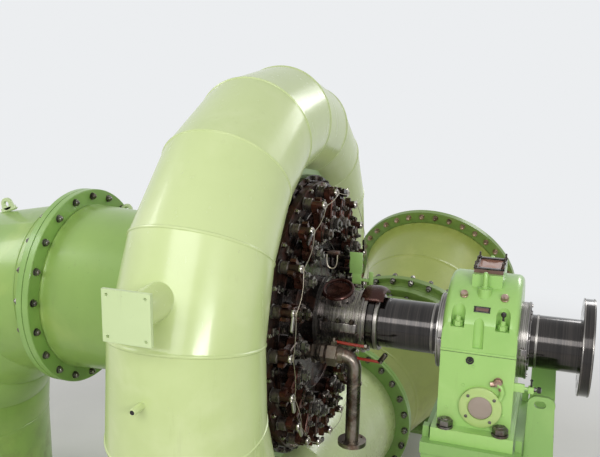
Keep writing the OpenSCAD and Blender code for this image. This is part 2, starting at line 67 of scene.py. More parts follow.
def outward(shape):
    """Turns every face over where six times the enclosed volume, the sum of the
    triple products of the face corners, comes out negative."""
    verts, quads, tris = shape
    fans = np.concatenate([quads[:, [0, 1, 2]], quads[:, [0, 2, 3]], tris])
    a, b, c = (verts[fans[:, k]] - verts.mean(0) for k in range(3))
    if (np.cross(a, b) * c).sum() < 0:
        quads, tris = quads[:, ::-1], tris[:, ::-1]
    return verts, quads, tris


def turned(profile, sides=48, ring=False):
    """A profile of (radius, height) carried round Z: x = r cos a, y = r sin a."""
    profile = np.asarray(profile, float)
    angle = np.arange(sides) * TAU / sides
    spoke = np.stack([np.cos(angle), np.sin(angle), np.zeros(sides)], -1)
    rise = profile[:, 1, None, None] * np.array([0, 0, 1.0])
    return skin(profile[:, 0, None, None] * spoke + rise, ring)


def basis(direction, side=(0.0, 0.0, 1.0)):
    """Rows of a right-handed frame whose third row is the direction."""
    w = np.asarray(direction, float) / np.linalg.norm(direction)
    side = np.asarray(side, float)
    if abs(w @ side) > 0.98:
        side = np.array([0.0, 1.0, 0.0])
    u = np.cross(side, w)
    u /= np.linalg.norm(u)
    return np.stack([u, np.cross(w, u), w])


def put(shape, origin, direction=(0, 0, 1), side=(0.0, 0.0, 1.0)):
    """Turns Z to the direction and moves the shape to the origin point."""
    verts, quads, tris = shape
    return verts @ basis(direction, side) + np.asarray(origin, float), quads, tris


def copies(shape, origins, frames):
    """The shape repeated: every copy's points are points times frame plus origin."""
    verts, quads, tris = shape
    origins = np.asarray(origins, float)
    frames = np.asarray(frames, float)
    many = np.einsum("vi,kij->kvj", verts, frames) + origins[:, None]
    step = np.arange(len(origins))[:, None, None] * len(verts)
    return many.reshape(-1, 3), (quads[None] + step).reshape(-1, 4), (tris[None] + step).reshape(-1, 3)


def joined(*shapes):
    """Several shapes as one list of points and faces."""
    starts = np.cumsum([0] + [len(s[0]) for s in shapes[:-1]])
    return (np.concatenate([s[0] for s in shapes]),
            np.concatenate([s[1] + k for s, k in zip(shapes, starts)]),
            np.concatenate([s[2] + k for s, k in zip(shapes, starts)]))


def outline_box(half_x, half_y, radius):
    """Rim of a rectangle: a quarter circle of four points at each corner, straight sides between."""
    quarter = np.linspace(0, math.pi / 2, 4)
    corner = np.repeat(np.arange(4), 4)
    angle = np.tile(quarter, 4) + corner * math.pi / 2
    sx = np.array([1, -1, -1, 1])[corner]
    sy = np.array([1, 1, -1, -1])[corner]
    return np.stack([sx * (half_x - radius) + radius * np.cos(angle),
                     sy * (half_y - radius) + radius * np.sin(angle)], -1)


def block(low, high, radius=0.004):
    """Box with rounded edges between two corners: a rounded rectangle carried up Z, which draws
    in by a quarter circle at the bottom and at the top."""
    low, high = np.asarray(low, float), np.asarray(high, float)
    half = (high - low) / 2
    radius = min(radius, half.min() * 0.9)
    bow = np.linspace(0, math.pi / 2, 3)
    inset = np.concatenate([radius * (1 - np.sin(bow)), radius * (1 - np.sin(bow[::-1]))])
    level = np.concatenate([-half[2] + radius * (1 - np.cos(bow)),
                            half[2] - radius * (1 - np.cos(bow[::-1]))])
    rows = [np.column_stack([outline_box(half[0] - i, half[1] - i, max(radius - i * 0.5, 1e-4)),
                             np.full(16, z)])
            for i, z in zip(inset, level)]
    verts, quads, tris = skin(np.array(rows))
    return verts + (low + high) / 2, quads, tris


def smooth_path(knots):
    """Curve through the knots in six steps from each to the next: a cubic whose slope at a knot
    is half the way from the knot before it to the knot after it."""
    knots = np.asarray(knots, float)
    padded = np.concatenate([[2 * knots[0] - knots[1]], knots, [2 * knots[-1] - knots[-2]]])
    t = np.linspace(0, 1, 6, endpoint=False)[:, None, None]
    p0, p1, p2, p3 = padded[:-3], padded[1:-2], padded[2:-1], padded[3:]
    curve = 0.5 * (2 * p1 + (p2 - p0) * t + (2 * p0 - 5 * p1 + 4 * p2 - p3) * t ** 2
                   + (3 * p1 - p0 - 3 * p2 + p3) * t ** 3)
    return np.concatenate([curve.transpose(1, 0, 2).reshape(-1, 3), knots[-1:]])


def swept(path, section, ring=False):
    """A flat section carried along a path. Each frame is the last one turned by the
    least turn that brings it on to the path's new direction."""
    path = np.asarray(path, float)
    section = np.asarray(section, float)
    ahead = np.roll(path, -1, 0) - np.roll(path, 1, 0) if ring else np.gradient(path, axis=0)
    ahead /= np.linalg.norm(ahead, axis=1)[:, None]
    frames = [basis(ahead[0])]
    for way in ahead[1:]:
        u = frames[-1][0] - way * (frames[-1][0] @ way)
        u /= np.linalg.norm(u)
        frames.append(np.stack([u, np.cross(way, u), way]))
    frames = np.array(frames)
    return skin(path[:, None] + section[:, :1] * frames[:, None, 0] + section[:, 1:] * frames[:, None, 1],
                ring)


def rod(path, radius, sides=10, ring=False):
    """Round bar: a circle carried along a path."""
    angle = np.arange(sides) * TAU / sides
    return swept(path, radius * np.stack([np.cos(angle), np.sin(angle)], -1), ring)


def nut(across, height):
    """Hexagon nut on z = 0: a profile chamfered at both ends, carried round Z in six sides."""
    r, c = across / math.sqrt(3), 0.12 * across
    return turned([(r - c, 0), (r, c * 0.5), (r, height - c * 0.5), (r - c, height)], 6)


def bolt(across, height, stud=0.5):
    """Washer, nut and a stud end that stands out of the nut by a share of its height."""
    thread = across * 0.3
    return joined(turned([(across * 0.66, 0), (across * 0.66, height * 0.16)], 14),
                  put(nut(across, height), (0, 0, height * 0.16)),
                  put(turned([(thread, 0), (thread, height * stud * 0.8), (thread * 0.75, height * stud)],
                             10), (0, 0, height * 1.16)))


def dome_nut(across, height):
    """Cap nut: a hexagon with a half-round cap above it, over a washer."""
    bow = np.linspace(0, math.pi / 2, 5)[:-1]
    cap = [(across * 0.46 * math.cos(b), height * 0.55 + height * 0.45 * math.sin(b)) for b in bow]
    return joined(turned([(across * 0.68, 0), (across * 0.68, height * 0.12)], 16),
                  put(nut(across, height * 0.55), (0, 0, height * 0.1)),
                  turned(cap, 12))


def circle_places(centre, direction, radius, count, first):
    """Origins and frames of pieces on a circle about an axis; Z lies along the axis."""
    u, v, w = basis(direction)
    angle = first + np.arange(count) * TAU / count
    out = np.cos(angle)[:, None] * u + np.sin(angle)[:, None] * v
    side = np.cross(w, out)
    frames = np.stack([out, side, np.tile(w, (count, 1))], 1)
    return np.asarray(centre, float) + radius * out, frames


def around_shaft(x, radius, degrees):
    """Points at height-angle degrees about the shaft, 0 at +Y and 90 on top, with
    frames whose rows are along the spoke, along the turn and along +X."""
    a = np.radians(np.atleast_1d(degrees))
    zero = np.zeros_like(a)
    out = np.stack([zero, np.cos(a), np.sin(a)], -1)
    turn = np.stack([zero, -np.sin(a), np.cos(a)], -1)
    front = np.stack([zero + 1, zero, zero], -1)
    return np.stack([zero + x, zero, zero + AXIS], -1) + radius * out, np.stack([out, turn, front], 1)


def turned_back(frames):
    """Frames about the shaft that face -X: their second and third rows change sign."""
    return frames * np.array([1.0, -1.0, -1.0])[:, None]


def spread(shape, places, way=(0, 0, 1)):
    """The shape at each of the places, all standing the same way."""
    return joined(*[put(shape, place, way) for place in places])


def piece(name, shape, finish, body="frame", replaces=(), sharp=32):
    """Makes the mesh object from points and faces, smooth apart from edges sharper
    than the angle, and lets it ride on its body."""
    verts, quads, tris = shape
    mesh = bpy.data.meshes.new(name)
    corners = np.concatenate([quads.reshape(-1), tris.reshape(-1)]).astype(np.int32)
    starts = np.concatenate([np.arange(len(quads)) * 4,
                             len(quads) * 4 + np.arange(len(tris)) * 3]).astype(np.int32)
    mesh.vertices.add(len(verts))
    mesh.vertices.foreach_set("co", np.ascontiguousarray(verts, np.float32).ravel())
    mesh.loops.add(len(corners))
    mesh.loops.foreach_set("vertex_index", corners)
    mesh.polygons.add(len(starts))
    mesh.polygons.foreach_set("loop_start", starts)
    mesh.update(calc_edges=True)
    mesh.validate()
    mesh.polygons.foreach_set("use_smooth", np.ones(len(mesh.polygons), bool))
    mesh.set_sharp_from_angle(angle=math.radians(sharp))
    mesh.materials.append(finish)
    item = bpy.data.objects.new(name, mesh)
    bpy.context.scene.collection.objects.link(item)
    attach(item, body)
    if replaces:
        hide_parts(*replaces)


# Finishes
def tone(red, green, blue):
    """Linear colour of a screen colour given as 0 to 255."""
    c = np.array([red, green, blue]) / 255.0
    c = np.where(c <= 0.04045, c / 12.92, ((c + 0.055) / 1.055) ** 2.4)
    return (*map(float, c), 1.0)


class Finish:
    """A material whose nodes are added one by one; every pattern reads the piece's
    own Object coordinates, which are metres in the machine's frame."""

    def __init__(self, name, colour, rough, metal=0.0, coat=0.0):
        self.material = bpy.data.materials.new(name)
        self.material.use_nodes = True
        self.tree = self.material.node_tree
        self.shader = self.tree.nodes["Principled BSDF"]
        self.shader.inputs["Metallic"].default_value = metal
        self.shader.inputs["Coat Weight"].default_value = coat
        self.shader.inputs["Coat Roughness"].default_value = 0.12
        self.place = self.node("ShaderNodeTexCoord").outputs["Object"]
        self.colour, self.rough, self.height = None, None, None
        self.base, self.base_rough = tone(*colour), rough

    def node(self, kind, **values):
        """A new node with its settings."""
        item = self.tree.nodes.new(kind)
        for key, value in values.items():
            setattr(item, key, value)
        return item

    def link(self, source, target):
        """Leads an output to an input."""
        self.tree.links.new(source, target)

    def stretched(self, scale):
        """Object coordinates scaled along each axis."""
        item = self.node("ShaderNodeMapping")
        item.inputs["Scale"].default_value = scale
        self.link(self.place, item.inputs["Vector"])
        return item.outputs["Vector"]

    def noise(self, scale, detail, rough=0.55, stretch=None, distortion=0.0):
        """Cloudy pattern from 0 to 1, with so many waves to the metre."""
        item = self.node("ShaderNodeTexNoise")
        for key, number in (("Scale", scale), ("Detail", detail), ("Roughness", rough),
                            ("Distortion", distortion)):
            item.inputs[key].default_value = number
        self.link(self.stretched(stretch) if stretch else self.place, item.inputs["Vector"])
        return item.outputs["Fac"]

    def step(self, value, low, high, start=0.0, end=1.0):
        """Smooth step of a value from start to end as it goes from low to high."""
        item = self.node("ShaderNodeMapRange", interpolation_type="SMOOTHSTEP")
        for key, number in (("From Min", low), ("From Max", high), ("To Min", start), ("To Max", end)):
            item.inputs[key].default_value = number
        self.link(value, item.inputs["Value"])
        return item.outputs["Result"]

    def times(self, a, b, operation="MULTIPLY"):
        """The product of two values or outputs, or what another operation makes of them."""
        item = self.node("ShaderNodeMath", operation=operation)
        for slot, value in zip(item.inputs, (a, b)):
            if isinstance(value, (int, float)):
                slot.default_value = value
            else:
                self.link(value, slot)
        return item.outputs[0]

    def along(self, axis):
        """One Object coordinate."""
        item = self.node("ShaderNodeSeparateXYZ")
        self.link(self.place, item.inputs[0])
        return item.outputs["XYZ".index(axis)]

    def edges(self, radius):
        """1 on outer edges: how far the rounded normal leans from the true one."""
        soft = self.node("ShaderNodeBevel", samples=3)
        soft.inputs["Radius"].default_value = radius
        true = self.node("ShaderNodeNewGeometry")
        dot = self.node("ShaderNodeVectorMath", operation="DOT_PRODUCT")
        self.link(soft.outputs[0], dot.inputs[0])
        self.link(true.outputs["Normal"], dot.inputs[1])
        return self.step(self.times(1.0, dot.outputs["Value"], "SUBTRACT"), 0.03, 0.25)

    def soften(self, radius):
        """Rounds the look of sharp corners: the normal is the mean one within a radius."""
        soft = self.node("ShaderNodeBevel", samples=4)
        soft.inputs["Radius"].default_value = radius
        self.height = soft.outputs["Normal"]

    def layer(self, mask, colour, rough=None):
        """Lays a colour, and a roughness, over what is there where the mask is 1."""
        mix = self.node("ShaderNodeMix", data_type="RGBA")
        self.link(mask, mix.inputs[0])
        if self.colour is None:
            mix.inputs[6].default_value = self.base
        else:
            self.link(self.colour, mix.inputs[6])
        mix.inputs[7].default_value = tone(*colour)
        self.colour = mix.outputs[2]
        if rough is not None:
            blend = self.node("ShaderNodeMix", data_type="FLOAT")
            self.link(mask, blend.inputs[0])
            if self.rough is None:
                blend.inputs[2].default_value = self.base_rough
            else:
                self.link(self.rough, blend.inputs[2])
            blend.inputs[3].default_value = rough
            self.rough = blend.outputs[0]

    def relief(self, value, depth, distance=0.001):
        """Adds a height pattern to the surface."""
        item = self.node("ShaderNodeBump")
        item.inputs["Strength"].default_value = depth
        item.inputs["Distance"].default_value = distance
        self.link(value, item.inputs["Height"])
        if self.height is not None:
            self.link(self.height, item.inputs["Normal"])
        self.height = item.outputs["Normal"]

    def done(self):
        """Leads colour, roughness and relief to the shader, and gives the material."""
        if self.colour is None:
            self.shader.inputs["Base Color"].default_value = self.base
        else:
            self.link(self.colour, self.shader.inputs["Base Color"])
        if self.rough is None:
            self.shader.inputs["Roughness"].default_value = self.base_rough
        else:
            self.link(self.rough, self.shader.inputs["Roughness"])
        if self.height is not None:
            self.link(self.height, self.shader.inputs["Normal"])
        self.material.diffuse_color = self.base
        return self.material


def enamel(name, colour, shade, glow, rough=0.3, dirt=0.5, worn=0.0):
    """Brushed and sprayed machine enamel: cloudy tint, fine orange peel, run marks,
    dust and oil in the lower parts, a few chips to brown primer."""
    f = Finish(name, colour, rough, coat=0.25)
    f.soften(0.004)
    f.layer(f.step(f.noise(0.9, 5, 0.6), 0.38, 0.68, 0.0, 0.75), shade)
    f.layer(f.step(f.noise(3.1, 4, 0.5, distortion=0.4), 0.5, 0.75, 0.0, 0.55), glow, rough * 0.85)
    f.layer(f.step(f.noise(4.0, 6, 0.65, (6.0, 6.0, 0.5)), 0.58, 0.74, 0.0, 0.16 * dirt),
            (104, 102, 62), rough + 0.12)
    f.layer(f.times(f.step(f.along("Z"), 1.3, 0.0),
                    f.step(f.noise(7.0, 8, 0.7), 0.42, 0.7, 0.0, 0.8 * dirt)), (112, 104, 78), rough + 0.3)
    f.layer(f.step(f.noise(46.0, 3, 0.6), 0.7, 0.76, 0.0, 0.5 * dirt), (84, 84, 54), 0.5)
    if worn:
        chips = f.times(f.step(f.noise(30.0, 6, 0.7), 0.55, 0.62), f.edges(0.006))
        f.layer(f.times(chips, worn), (92, 62, 44), 0.6)
    f.relief(f.noise(420.0, 2, 0.5), 0.10, 0.0006)
    f.relief(f.noise(9.0, 3, 0.5), 0.35, 0.004)
    return f.done()


def oily_steel(name, colour, rust, amount=0.5, rough=0.34, metal=0.85):
    """Dark oiled steel: black oil film, rust-brown stains and dust, fine scratches."""
    f = Finish(name, colour, rough, metal)
    f.layer(f.step(f.noise(13.0, 6, 0.65), 0.52 - 0.2 * amount, 0.74 - 0.16 * amount, 0.0, 0.9), rust, 0.55)
    f.layer(f.step(f.noise(5.0, 4, 0.6, distortion=1.0), 0.5, 0.66, 0.0, 0.6), (24, 21, 20), 0.2)
    f.layer(f.step(f.noise(70.0, 4, 0.7), 0.6, 0.72, 0.0, 0.6), (120, 100, 84), 0.6)
    f.relief(f.noise(160.0, 4, 0.6), 0.25, 0.0008)
    return f.done()


def turned_steel(name, colour, rough=0.22, lines=320.0, metal=1.0, film=0.4):
    """Turned and polished steel: fine rings across the axis, oil smears, a few stains."""
    f = Finish(name, colour, rough, metal)
    rings = f.noise(lines, 3, 0.6, (1.0, 0.01, 0.01))
    f.layer(f.step(rings, 0.4, 0.66, 0.0, 0.5), (190, 186, 180), rough + 0.06)
    f.layer(f.step(f.noise(7.0, 5, 0.6, (2.5, 0.7, 0.7), 0.6), 0.46, 0.68, 0.0, film), (34, 30, 30),
            rough + 0.14)
    f.layer(f.step(f.noise(38.0, 5, 0.7), 0.66, 0.76, 0.0, 0.55), (96, 66, 48), 0.5)
    f.relief(rings, 0.12, 0.0005)
    return f.done()


def black_polish(name, colour, lines=300.0):
    """Steel under a clear black oil film, polished to a mirror, with faint turning rings."""
    f = Finish(name, colour, 0.14, 0.9, coat=0.5)
    rings = f.noise(lines, 3, 0.6, (1.0, 0.004, 0.004))
    f.layer(f.step(rings, 0.42, 0.66, 0.0, 0.22), (112, 104, 98), 0.2)
    f.layer(f.step(f.noise(9.0, 4, 0.6, (0.5, 1.0, 1.0)), 0.55, 0.75, 0.0, 0.4), (58, 40, 34), 0.3)
    f.relief(rings, 0.05, 0.0004)
    return f.done()


# These greens are copies of one machine paint whose differences are painted light and shade: the case and
# plate copies are the palest, the bearing and cover copies greener, the draft, inlet, flange and base copies
# darker and yellower, and the mouth copy the darkest.
case_green = enamel("case_enamel", (200, 214, 153), (186, 202, 135), (211, 222, 168), 0.27)
draft_green = enamel("draft_enamel", (150, 183, 94), (132, 166, 80), (170, 194, 104), 0.34, 0.8)
inlet_green = enamel("inlet_enamel", (170, 182, 92), (152, 164, 76), (186, 192, 106), 0.36, 0.9)
mouth_green = enamel("mouth_enamel", (122, 150, 76), (102, 130, 60), (142, 160, 84), 0.38, 0.9, 0.6)
flange_green = enamel("flange_enamel", (142, 180, 96), (122, 160, 80), (160, 192, 108), 0.34, 0.8, 0.6)
bearing_green = enamel("bearing_enamel", (164, 206, 116), (142, 190, 98), (182, 216, 134), 0.3, 0.5, 0.5)
plate_green = enamel("plate_enamel", (200, 216, 164), (186, 204, 148), (210, 224, 178), 0.36, 0.6)
cover_green = enamel("cover_enamel", (178, 202, 124), (160, 188, 106), (194, 214, 142), 0.34, 0.6)
base_green = enamel("base_enamel", (138, 178, 98), (116, 156, 80), (156, 192, 112), 0.42, 1.2, 0.7)
gear_black = oily_steel("gear_oiled_steel", (46, 42, 40), (72, 44, 33), 0.35, 0.2)
ring_brown = oily_steel("ring_rusty_steel", (62, 47, 40), (84, 47, 34), 0.5, 0.3, 0.7)
lever_red = oily_steel("lever_primer", (72, 46, 37), (98, 50, 34), 0.45, 0.22, 0.6)
sleeve_steel = oily_steel("sleeve_steel", (118, 110, 104), (74, 50, 40), 0.2, 0.32, 0.85)
pin_steel = turned_steel("pin_steel", (186, 180, 172), 0.16, 300.0, 1.0, 0.25)
nut_grey = oily_steel("nut_grey_steel", (124, 121, 115), (82, 66, 56), 0.3, 0.24, 0.85)
bolt_dark = oily_steel("bolt_dark_steel", (104, 98, 90), (70, 50, 40), 0.25, 0.22, 0.95)
# Pale bright steel for three of the short links: painted glint.
link_painted_glint = turned_steel("link_painted_glint_steel", (206, 202, 194), 0.3, 120.0, 1.0, 0.15)
wire_white = turned_steel("wire_steel", (170, 160, 140), 0.35, 200.0, 0.9, 0.1)
shaft_black = black_polish("shaft_polished", (38, 35, 34))
seal_black = black_polish("seal_black_iron", (48, 46, 46), 90.0)
seal_turned = turned_steel("seal_turned_iron", (126, 119, 116), 0.25, 90.0, 0.95, 0.7)
pipe_grey = oily_steel("pipe_grey_steel", (134, 126, 116), (104, 70, 50), 0.35, 0.3, 0.9)
end_grey = turned_steel("end_ring_steel", (120, 116, 112), 0.26, 240.0, 1.0, 0.4)
window_brown = enamel("window_frame_paint", (116, 84, 74), (92, 66, 58), (142, 106, 92), 0.4)
hatch_rust = oily_steel("hatch_rust", (58, 31, 25), (78, 40, 28), 0.35, 0.2, 0.6)
pipe_fitting = oily_steel("pipe_fitting_steel", (142, 132, 120), (108, 78, 58), 0.4, 0.3, 0.9)
copper_steel = oily_steel("warm_bolt_steel", (190, 164, 150), (140, 104, 84), 0.35, 0.3, 0.8)
disc_grey = enamel("cover_disc_paint", (158, 142, 130), (138, 124, 114), (172, 158, 146), 0.34)
pane_pink = enamel("window_pane", (176, 120, 94), (156, 100, 78), (192, 138, 110), 0.22)
end_bright = turned_steel("end_band_steel", (128, 124, 122), 0.18, 300.0, 1.0, 0.3)
rod_red = enamel("red_rod_paint", (158, 46, 32), (118, 34, 26), (186, 70, 50), 0.38)

# Finish of every CAD node
node_finishes = {
    "spiral_case": case_green, "stay_ring": flange_green, "head_cover": gear_black,
    "draft_cover": flange_green, "draft_cone": draft_green, "draft_joint": flange_green,
    "draft_elbow": draft_green, "outlet_flange": flange_green, "case_sole_plate": base_green,
    "stub_plate": plate_green, "inlet_joint_lower": flange_green, "inlet_bend": inlet_green,
    "inlet_joint_upper": mouth_green, "inlet_cone": inlet_green, "inlet_flange": mouth_green,
    "inlet_support": base_green, "seal_housing": seal_turned, "seal_pipe": pipe_grey,
    "bearing_base": bearing_green, "bearing_cap": bearing_green, "bearing_end_rings": end_grey,
    "bearing_cover": cover_green, "bearing_window": window_brown, "bearing_sole_plate": base_green,
    "bearing_pedestal": base_green, "shaft": shaft_black, "regulating_ring": ring_brown}
node_finishes.update({"lever_%02d" % k: lever_red for k in range(1, 21)})
for node_name, finish in node_finishes.items():
    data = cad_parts[node_name].data
    data.materials.clear()
    data.materials.append(finish)


# Spiral case: its inner edge from the shaft, the tube's radius at 180 degrees and its growth
# for each degree, the angles of the weld seams, the mouth's radius, height and face, and the
# face of the bend behind the joint
CASE_IN, TUBE, GROWTH = 0.873, 0.384, 0.00076
SEAMS = np.arange(270, -71, -20.0)
MOUTH_R, MOUTH_Z = 0.53, AXIS - (CASE_IN + TUBE + GROWTH * 90)
MOUTH_Y, BEND_Y = 1.305, 1.395


def case_ring(degrees, swell=0.0):
    """Circle across the spiral at an angle about the shaft: its radius grows evenly
    with the angle, and its inner edge stays at one distance from the shaft."""
    radius = TUBE + GROWTH * (degrees - 180)
    a, b = math.radians(degrees), np.arange(AROUND) * TAU / AROUND
    reach = CASE_IN + radius + (radius + swell) * np.cos(b)
    return np.stack([(radius + swell) * np.sin(b), reach * math.cos(a), AXIS + reach * math.sin(a)], -1)


def case_rows():
    """Straight plates between the seam circles, a point s of the way along each being
    (1 - s) times one circle plus s times the next, with a raised weld bead at each seam."""
    b = np.arange(AROUND) * TAU / AROUND
    mouth = np.stack([MOUTH_R * np.sin(b), np.full(AROUND, 1.3049), MOUTH_Z - MOUTH_R * np.cos(b)], -1)
    rings = [(mouth, mouth)] + [(case_ring(d), case_ring(d, 0.0045)) for d in SEAMS]
    rows = [mouth]
    for k in range(1, len(rings)):
        (before, _), (here, raised) = rings[k - 1], rings[k]
        near = 0.03 if k > 1 else 0.012
        rows += [before * s + here * (1 - s) for s in (near, near * 0.55)]
        if k + 1 < len(rings):
            after = rings[k + 1][0]
            rows += [before * 0.3 * near + raised * (1 - 0.3 * near), raised,
                     after * 0.009 + raised * 0.991, after * 0.0165 + here * 0.9835,
                     after * 0.03 + here * 0.97]
        else:
            rows.append(here)
    return np.array(rows)


stub = put(turned([(0.082, 0.0), (0.082, 0.34)], 48), (0, -1.733, AXIS + 0.488), (0, 1, 0))
collar = put(turned([(0.091, 0), (0.089, 0.006), (0.083, 0.012), (0.083, 0.03)], 48),
             (0, -1.7318, AXIS + 0.488), (0, 1, 0))
socket = put(turned([(0.011, 0.006), (0.011, 0.0), (0.0155, 0.0), (0.017, 0.002), (0.017, 0.09),
                     (0.019, 0.11)], 28), (-0.025, -1.689, AXIS + 0.042), (0, 1, 0))
socket_bore = put(turned([(0.0108, 0.0), (0.0108, 0.005)], 24), (-0.025, -1.6885, AXIS + 0.042), (0, 1, 0))
webs = joined(block((-0.28, 0.6, 0.04), (0.28, 0.64, 0.33)),
              block((-0.28, -0.64, 0.04), (0.28, -0.6, 0.58)))
piece("spiral_case_plates", joined(skin(case_rows()), stub, collar, socket, webs), case_green,
      replaces=["spiral_case"], sharp=40)
# A black disc fills the socket's shallow recess: painted shade of its bore.
piece("case_screw_stub_bore", socket_bore, seal_black)

# Pipes: one flange is 45 mm thick
FLANGE = 0.045


def lug():
    """Lifting lug in the XZ plane: a ring of square section with worn edges over a
    rounded foot block; z = 0 is the surface that it is welded to."""
    eye = put(turned([(0.02, -0.010), (0.022, -0.012), (0.042, -0.012), (0.045, -0.009), (0.045, 0.009),
                      (0.042, 0.012), (0.022, 0.012), (0.02, 0.010)], 32, ring=True), (0, 0, 0.043),
              (0, 1, 0))
    foot = block((-0.06, -0.012, -0.012), (0.06, 0.012, 0.022), 0.003)
    cheeks = [block((x - 0.012, -0.0115, 0.0), (x + 0.012, 0.0115, 0.042), 0.004) for x in (-0.036, 0.036)]
    bead = block((-0.066, -0.018, -0.006), (0.066, 0.018, 0.003), 0.003)
    return joined(eye, foot, bead, *cheeks)


def seam(radius, x):
    """Weld bead round a pipe, 14 mm wide: an arch of 3 mm times the sine of the way over it."""
    over = np.linspace(0, math.pi, 5)
    return [(radius + 0.003 * math.sin(a), x - 0.007 + 0.014 * a / math.pi) for a in over]


def tapered(a, b, ra, rb, wall, seams):
    """Hollow cone: a profile from radius ra at height a to rb at b, with weld beads on its
    outside, carried round Z."""
    out = [(ra, a)]
    for s in seams:
        r = ra + (rb - ra) * (s - a) / (b - a)
        out += [(r, s - 0.03)] + seam(r, s) + [(r, s + 0.03)]
    out += [(rb, b), (rb - wall, b), (ra - wall, a)]
    return turned(out, AROUND, ring=True)


def standing_lug(place, rows):
    """The lug on a place of a pipe, with its X, Y and Z turned to the three rows."""
    verts, quads, tris = lug()
    return verts @ np.array(rows) + place, quads, tris


# Draft tube: the face between its joint and its elbow, and the radius of the elbow's turn
DRAFT_X, ELBOW_TURN = -1.48, 1.14
cone = put(tapered(0.0, 1.2, 0.5, 0.56, 0.016, (0.012, 0.62, 1.188)), (-0.19, 0, AXIS), (-1, 0, 0))
(lug_place,), (lug_frame,) = around_shaft(-1.325, 0.5565, 52)
piece("draft_cone_plates", cone, draft_green, replaces=["draft_cone"])
piece("draft_cone_lug", standing_lug(lug_place, lug_frame[::-1]), plate_green)


def flange_pair(outer, inner):
    """Closed outline of two bolted flanges: rims bevelled by 4 mm, and a groove 6 mm deep and
    5 mm wide between them."""
    thick, rim, groove = 2 * FLANGE, outer - 0.004, outer - 0.006
    return [(inner, 0), (rim, 0), (outer, 0.004), (outer, FLANGE - 0.003), (groove, FLANGE - 0.0025),
            (groove, FLANGE + 0.0025), (outer, FLANGE + 0.003), (outer, thick - 0.004), (rim, thick),
            (inner, thick)]


joint = put(turned(flange_pair(0.665, 0.544), 120, ring=True), (DRAFT_X, 0, AXIS), (1, 0, 0))
piece("draft_joint_flanges", joint, flange_green, replaces=["draft_joint"])


def elbow_rows(wall=0.0, bead=0.0):
    """Four straight courses of the draft elbow, then the straight foot pipe. At m degrees about
    the bend's centre the pipe's middle lies on the straight line between its course's two ends,
    which are ELBOW_TURN from that centre, and the circle's radius grows evenly with m."""
    def spoke(degrees):
        a = math.radians(degrees)
        return np.array([-math.sin(a), math.cos(a)])

    b = np.arange(AROUND) * TAU / AROUND
    stops = [(0, 0), (4.6, 0), (4.75, 1), (5.0, 1), (5.15, 0)]
    for seam_at in (22.5, 45, 67.5):
        stops += [(seam_at - 1.1, 0), (seam_at - 0.35, 0), (seam_at, 1), (seam_at + 0.35, 0),
                  (seam_at + 1.1, 0)]
    stops += [(88.9, 0), (89.65, 0), (90, 1)]
    rows = []
    for m, grow in stops:
        low = 22.5 * math.floor(m / 22.5)
        share = (m - low) / 22.5
        mid = ELBOW_TURN * ((1 - share) * spoke(low) + share * spoke(low + 22.5))
        radius = 0.56 + 0.08 * m / 90 - wall + bead * grow
        reach = radius * np.cos(b)
        rows.append(np.stack([DRAFT_X + mid[0] + reach * spoke(m)[0], radius * np.sin(b),
                              AXIS - ELBOW_TURN + mid[1] + reach * spoke(m)[1]], -1))
    foot = 0.64 - wall
    for z in (AXIS - 1.155, AXIS - 1.17, 0.045):
        rows.append(np.stack([DRAFT_X - ELBOW_TURN - foot * np.cos(b), foot * np.sin(b),
                              np.full(AROUND, z)], -1))
    return np.array(rows)


elbow = skin(np.concatenate([elbow_rows(0.0, 0.004), elbow_rows(0.016)[::-1]]), ring=True)
tilt = math.radians(19.4)
lug_place = (DRAFT_X - 1.7165 * math.sin(tilt), 0, AXIS - ELBOW_TURN + 1.7165 * math.cos(tilt))
lug_rows = [(math.cos(tilt), 0, math.sin(tilt)), (0, 1, 0), (-math.sin(tilt), 0, math.cos(tilt))]
piece("draft_elbow_plates", elbow, draft_green, replaces=["draft_elbow"], sharp=40)
piece("draft_elbow_lug", standing_lug(lug_place, lug_rows), plate_green)

# Inlet pipe: middle of its outer face, lengths of the cone and of the joint that is taken apart,
# the way the cone runs, 24.7 degrees up and 5 to the right, and the end of the bend
INLET = np.array([0.49, 3.2, AXIS - 0.56])
CONE, JOINT = 0.885, 0.245
RISE, TURN = math.radians(24.7), math.radians(5)
INLET_WAY = np.array([math.sin(TURN) * math.cos(RISE), math.cos(TURN) * math.cos(RISE), math.sin(RISE)])
BEND_FACE = INLET - INLET_WAY * (CONE + FLANGE + JOINT)


def inlet_ring(t, radius):
    """Circle across the inlet bend: its middle runs on a cubic curve from the case
    flange to the cone flange, and its plane turns evenly between the two."""
    start = np.array([0, BEND_Y, MOUTH_Z])
    middle = ((2 * t ** 3 - 3 * t ** 2 + 1) * start + (3 * t ** 2 - 2 * t ** 3) * BEND_FACE
              + (t ** 3 - 2 * t ** 2 + t) * 0.62 * np.array([0, 1, 0])
              + (t ** 3 - t ** 2) * 0.62 * INLET_WAY)
    u, v, _ = basis((1 - t) * np.array([0, 1.0, 0]) + t * INLET_WAY)
    b = np.arange(AROUND)[:, None] * TAU / AROUND
    return middle + radius * (np.cos(b) * u + np.sin(b) * v)


def bend_rows(wall, bead):
    """Three straight courses between four circles of the bend: a point s of the way along
    a course is (1 - s) times one circle plus s times the next, raised at the weld beads."""
    stops = [(0.0, 1), (0.012, 0.6), (0.024, 0), (0.04, 0)]
    for seam_at in (1 / 3, 2 / 3):
        stops += [(seam_at - 0.03, 0), (seam_at - 0.012, 0), (seam_at, 1), (seam_at + 0.012, 0),
                  (seam_at + 0.03, 0)]
    stops += [(0.96, 0), (0.976, 0), (0.988, 0.6), (1.0, 1)]
    rows = []
    for t, grow in stops:
        low = min(math.floor(t * 3 + 1e-9), 2)
        share = t * 3 - low
        a, b = (inlet_ring(k / 3, MOUTH_R + 0.03 * k / 3 - wall + bead * grow) for k in (low, low + 1))
        rows.append(a * (1 - share) + b * share)
    return np.array(rows)


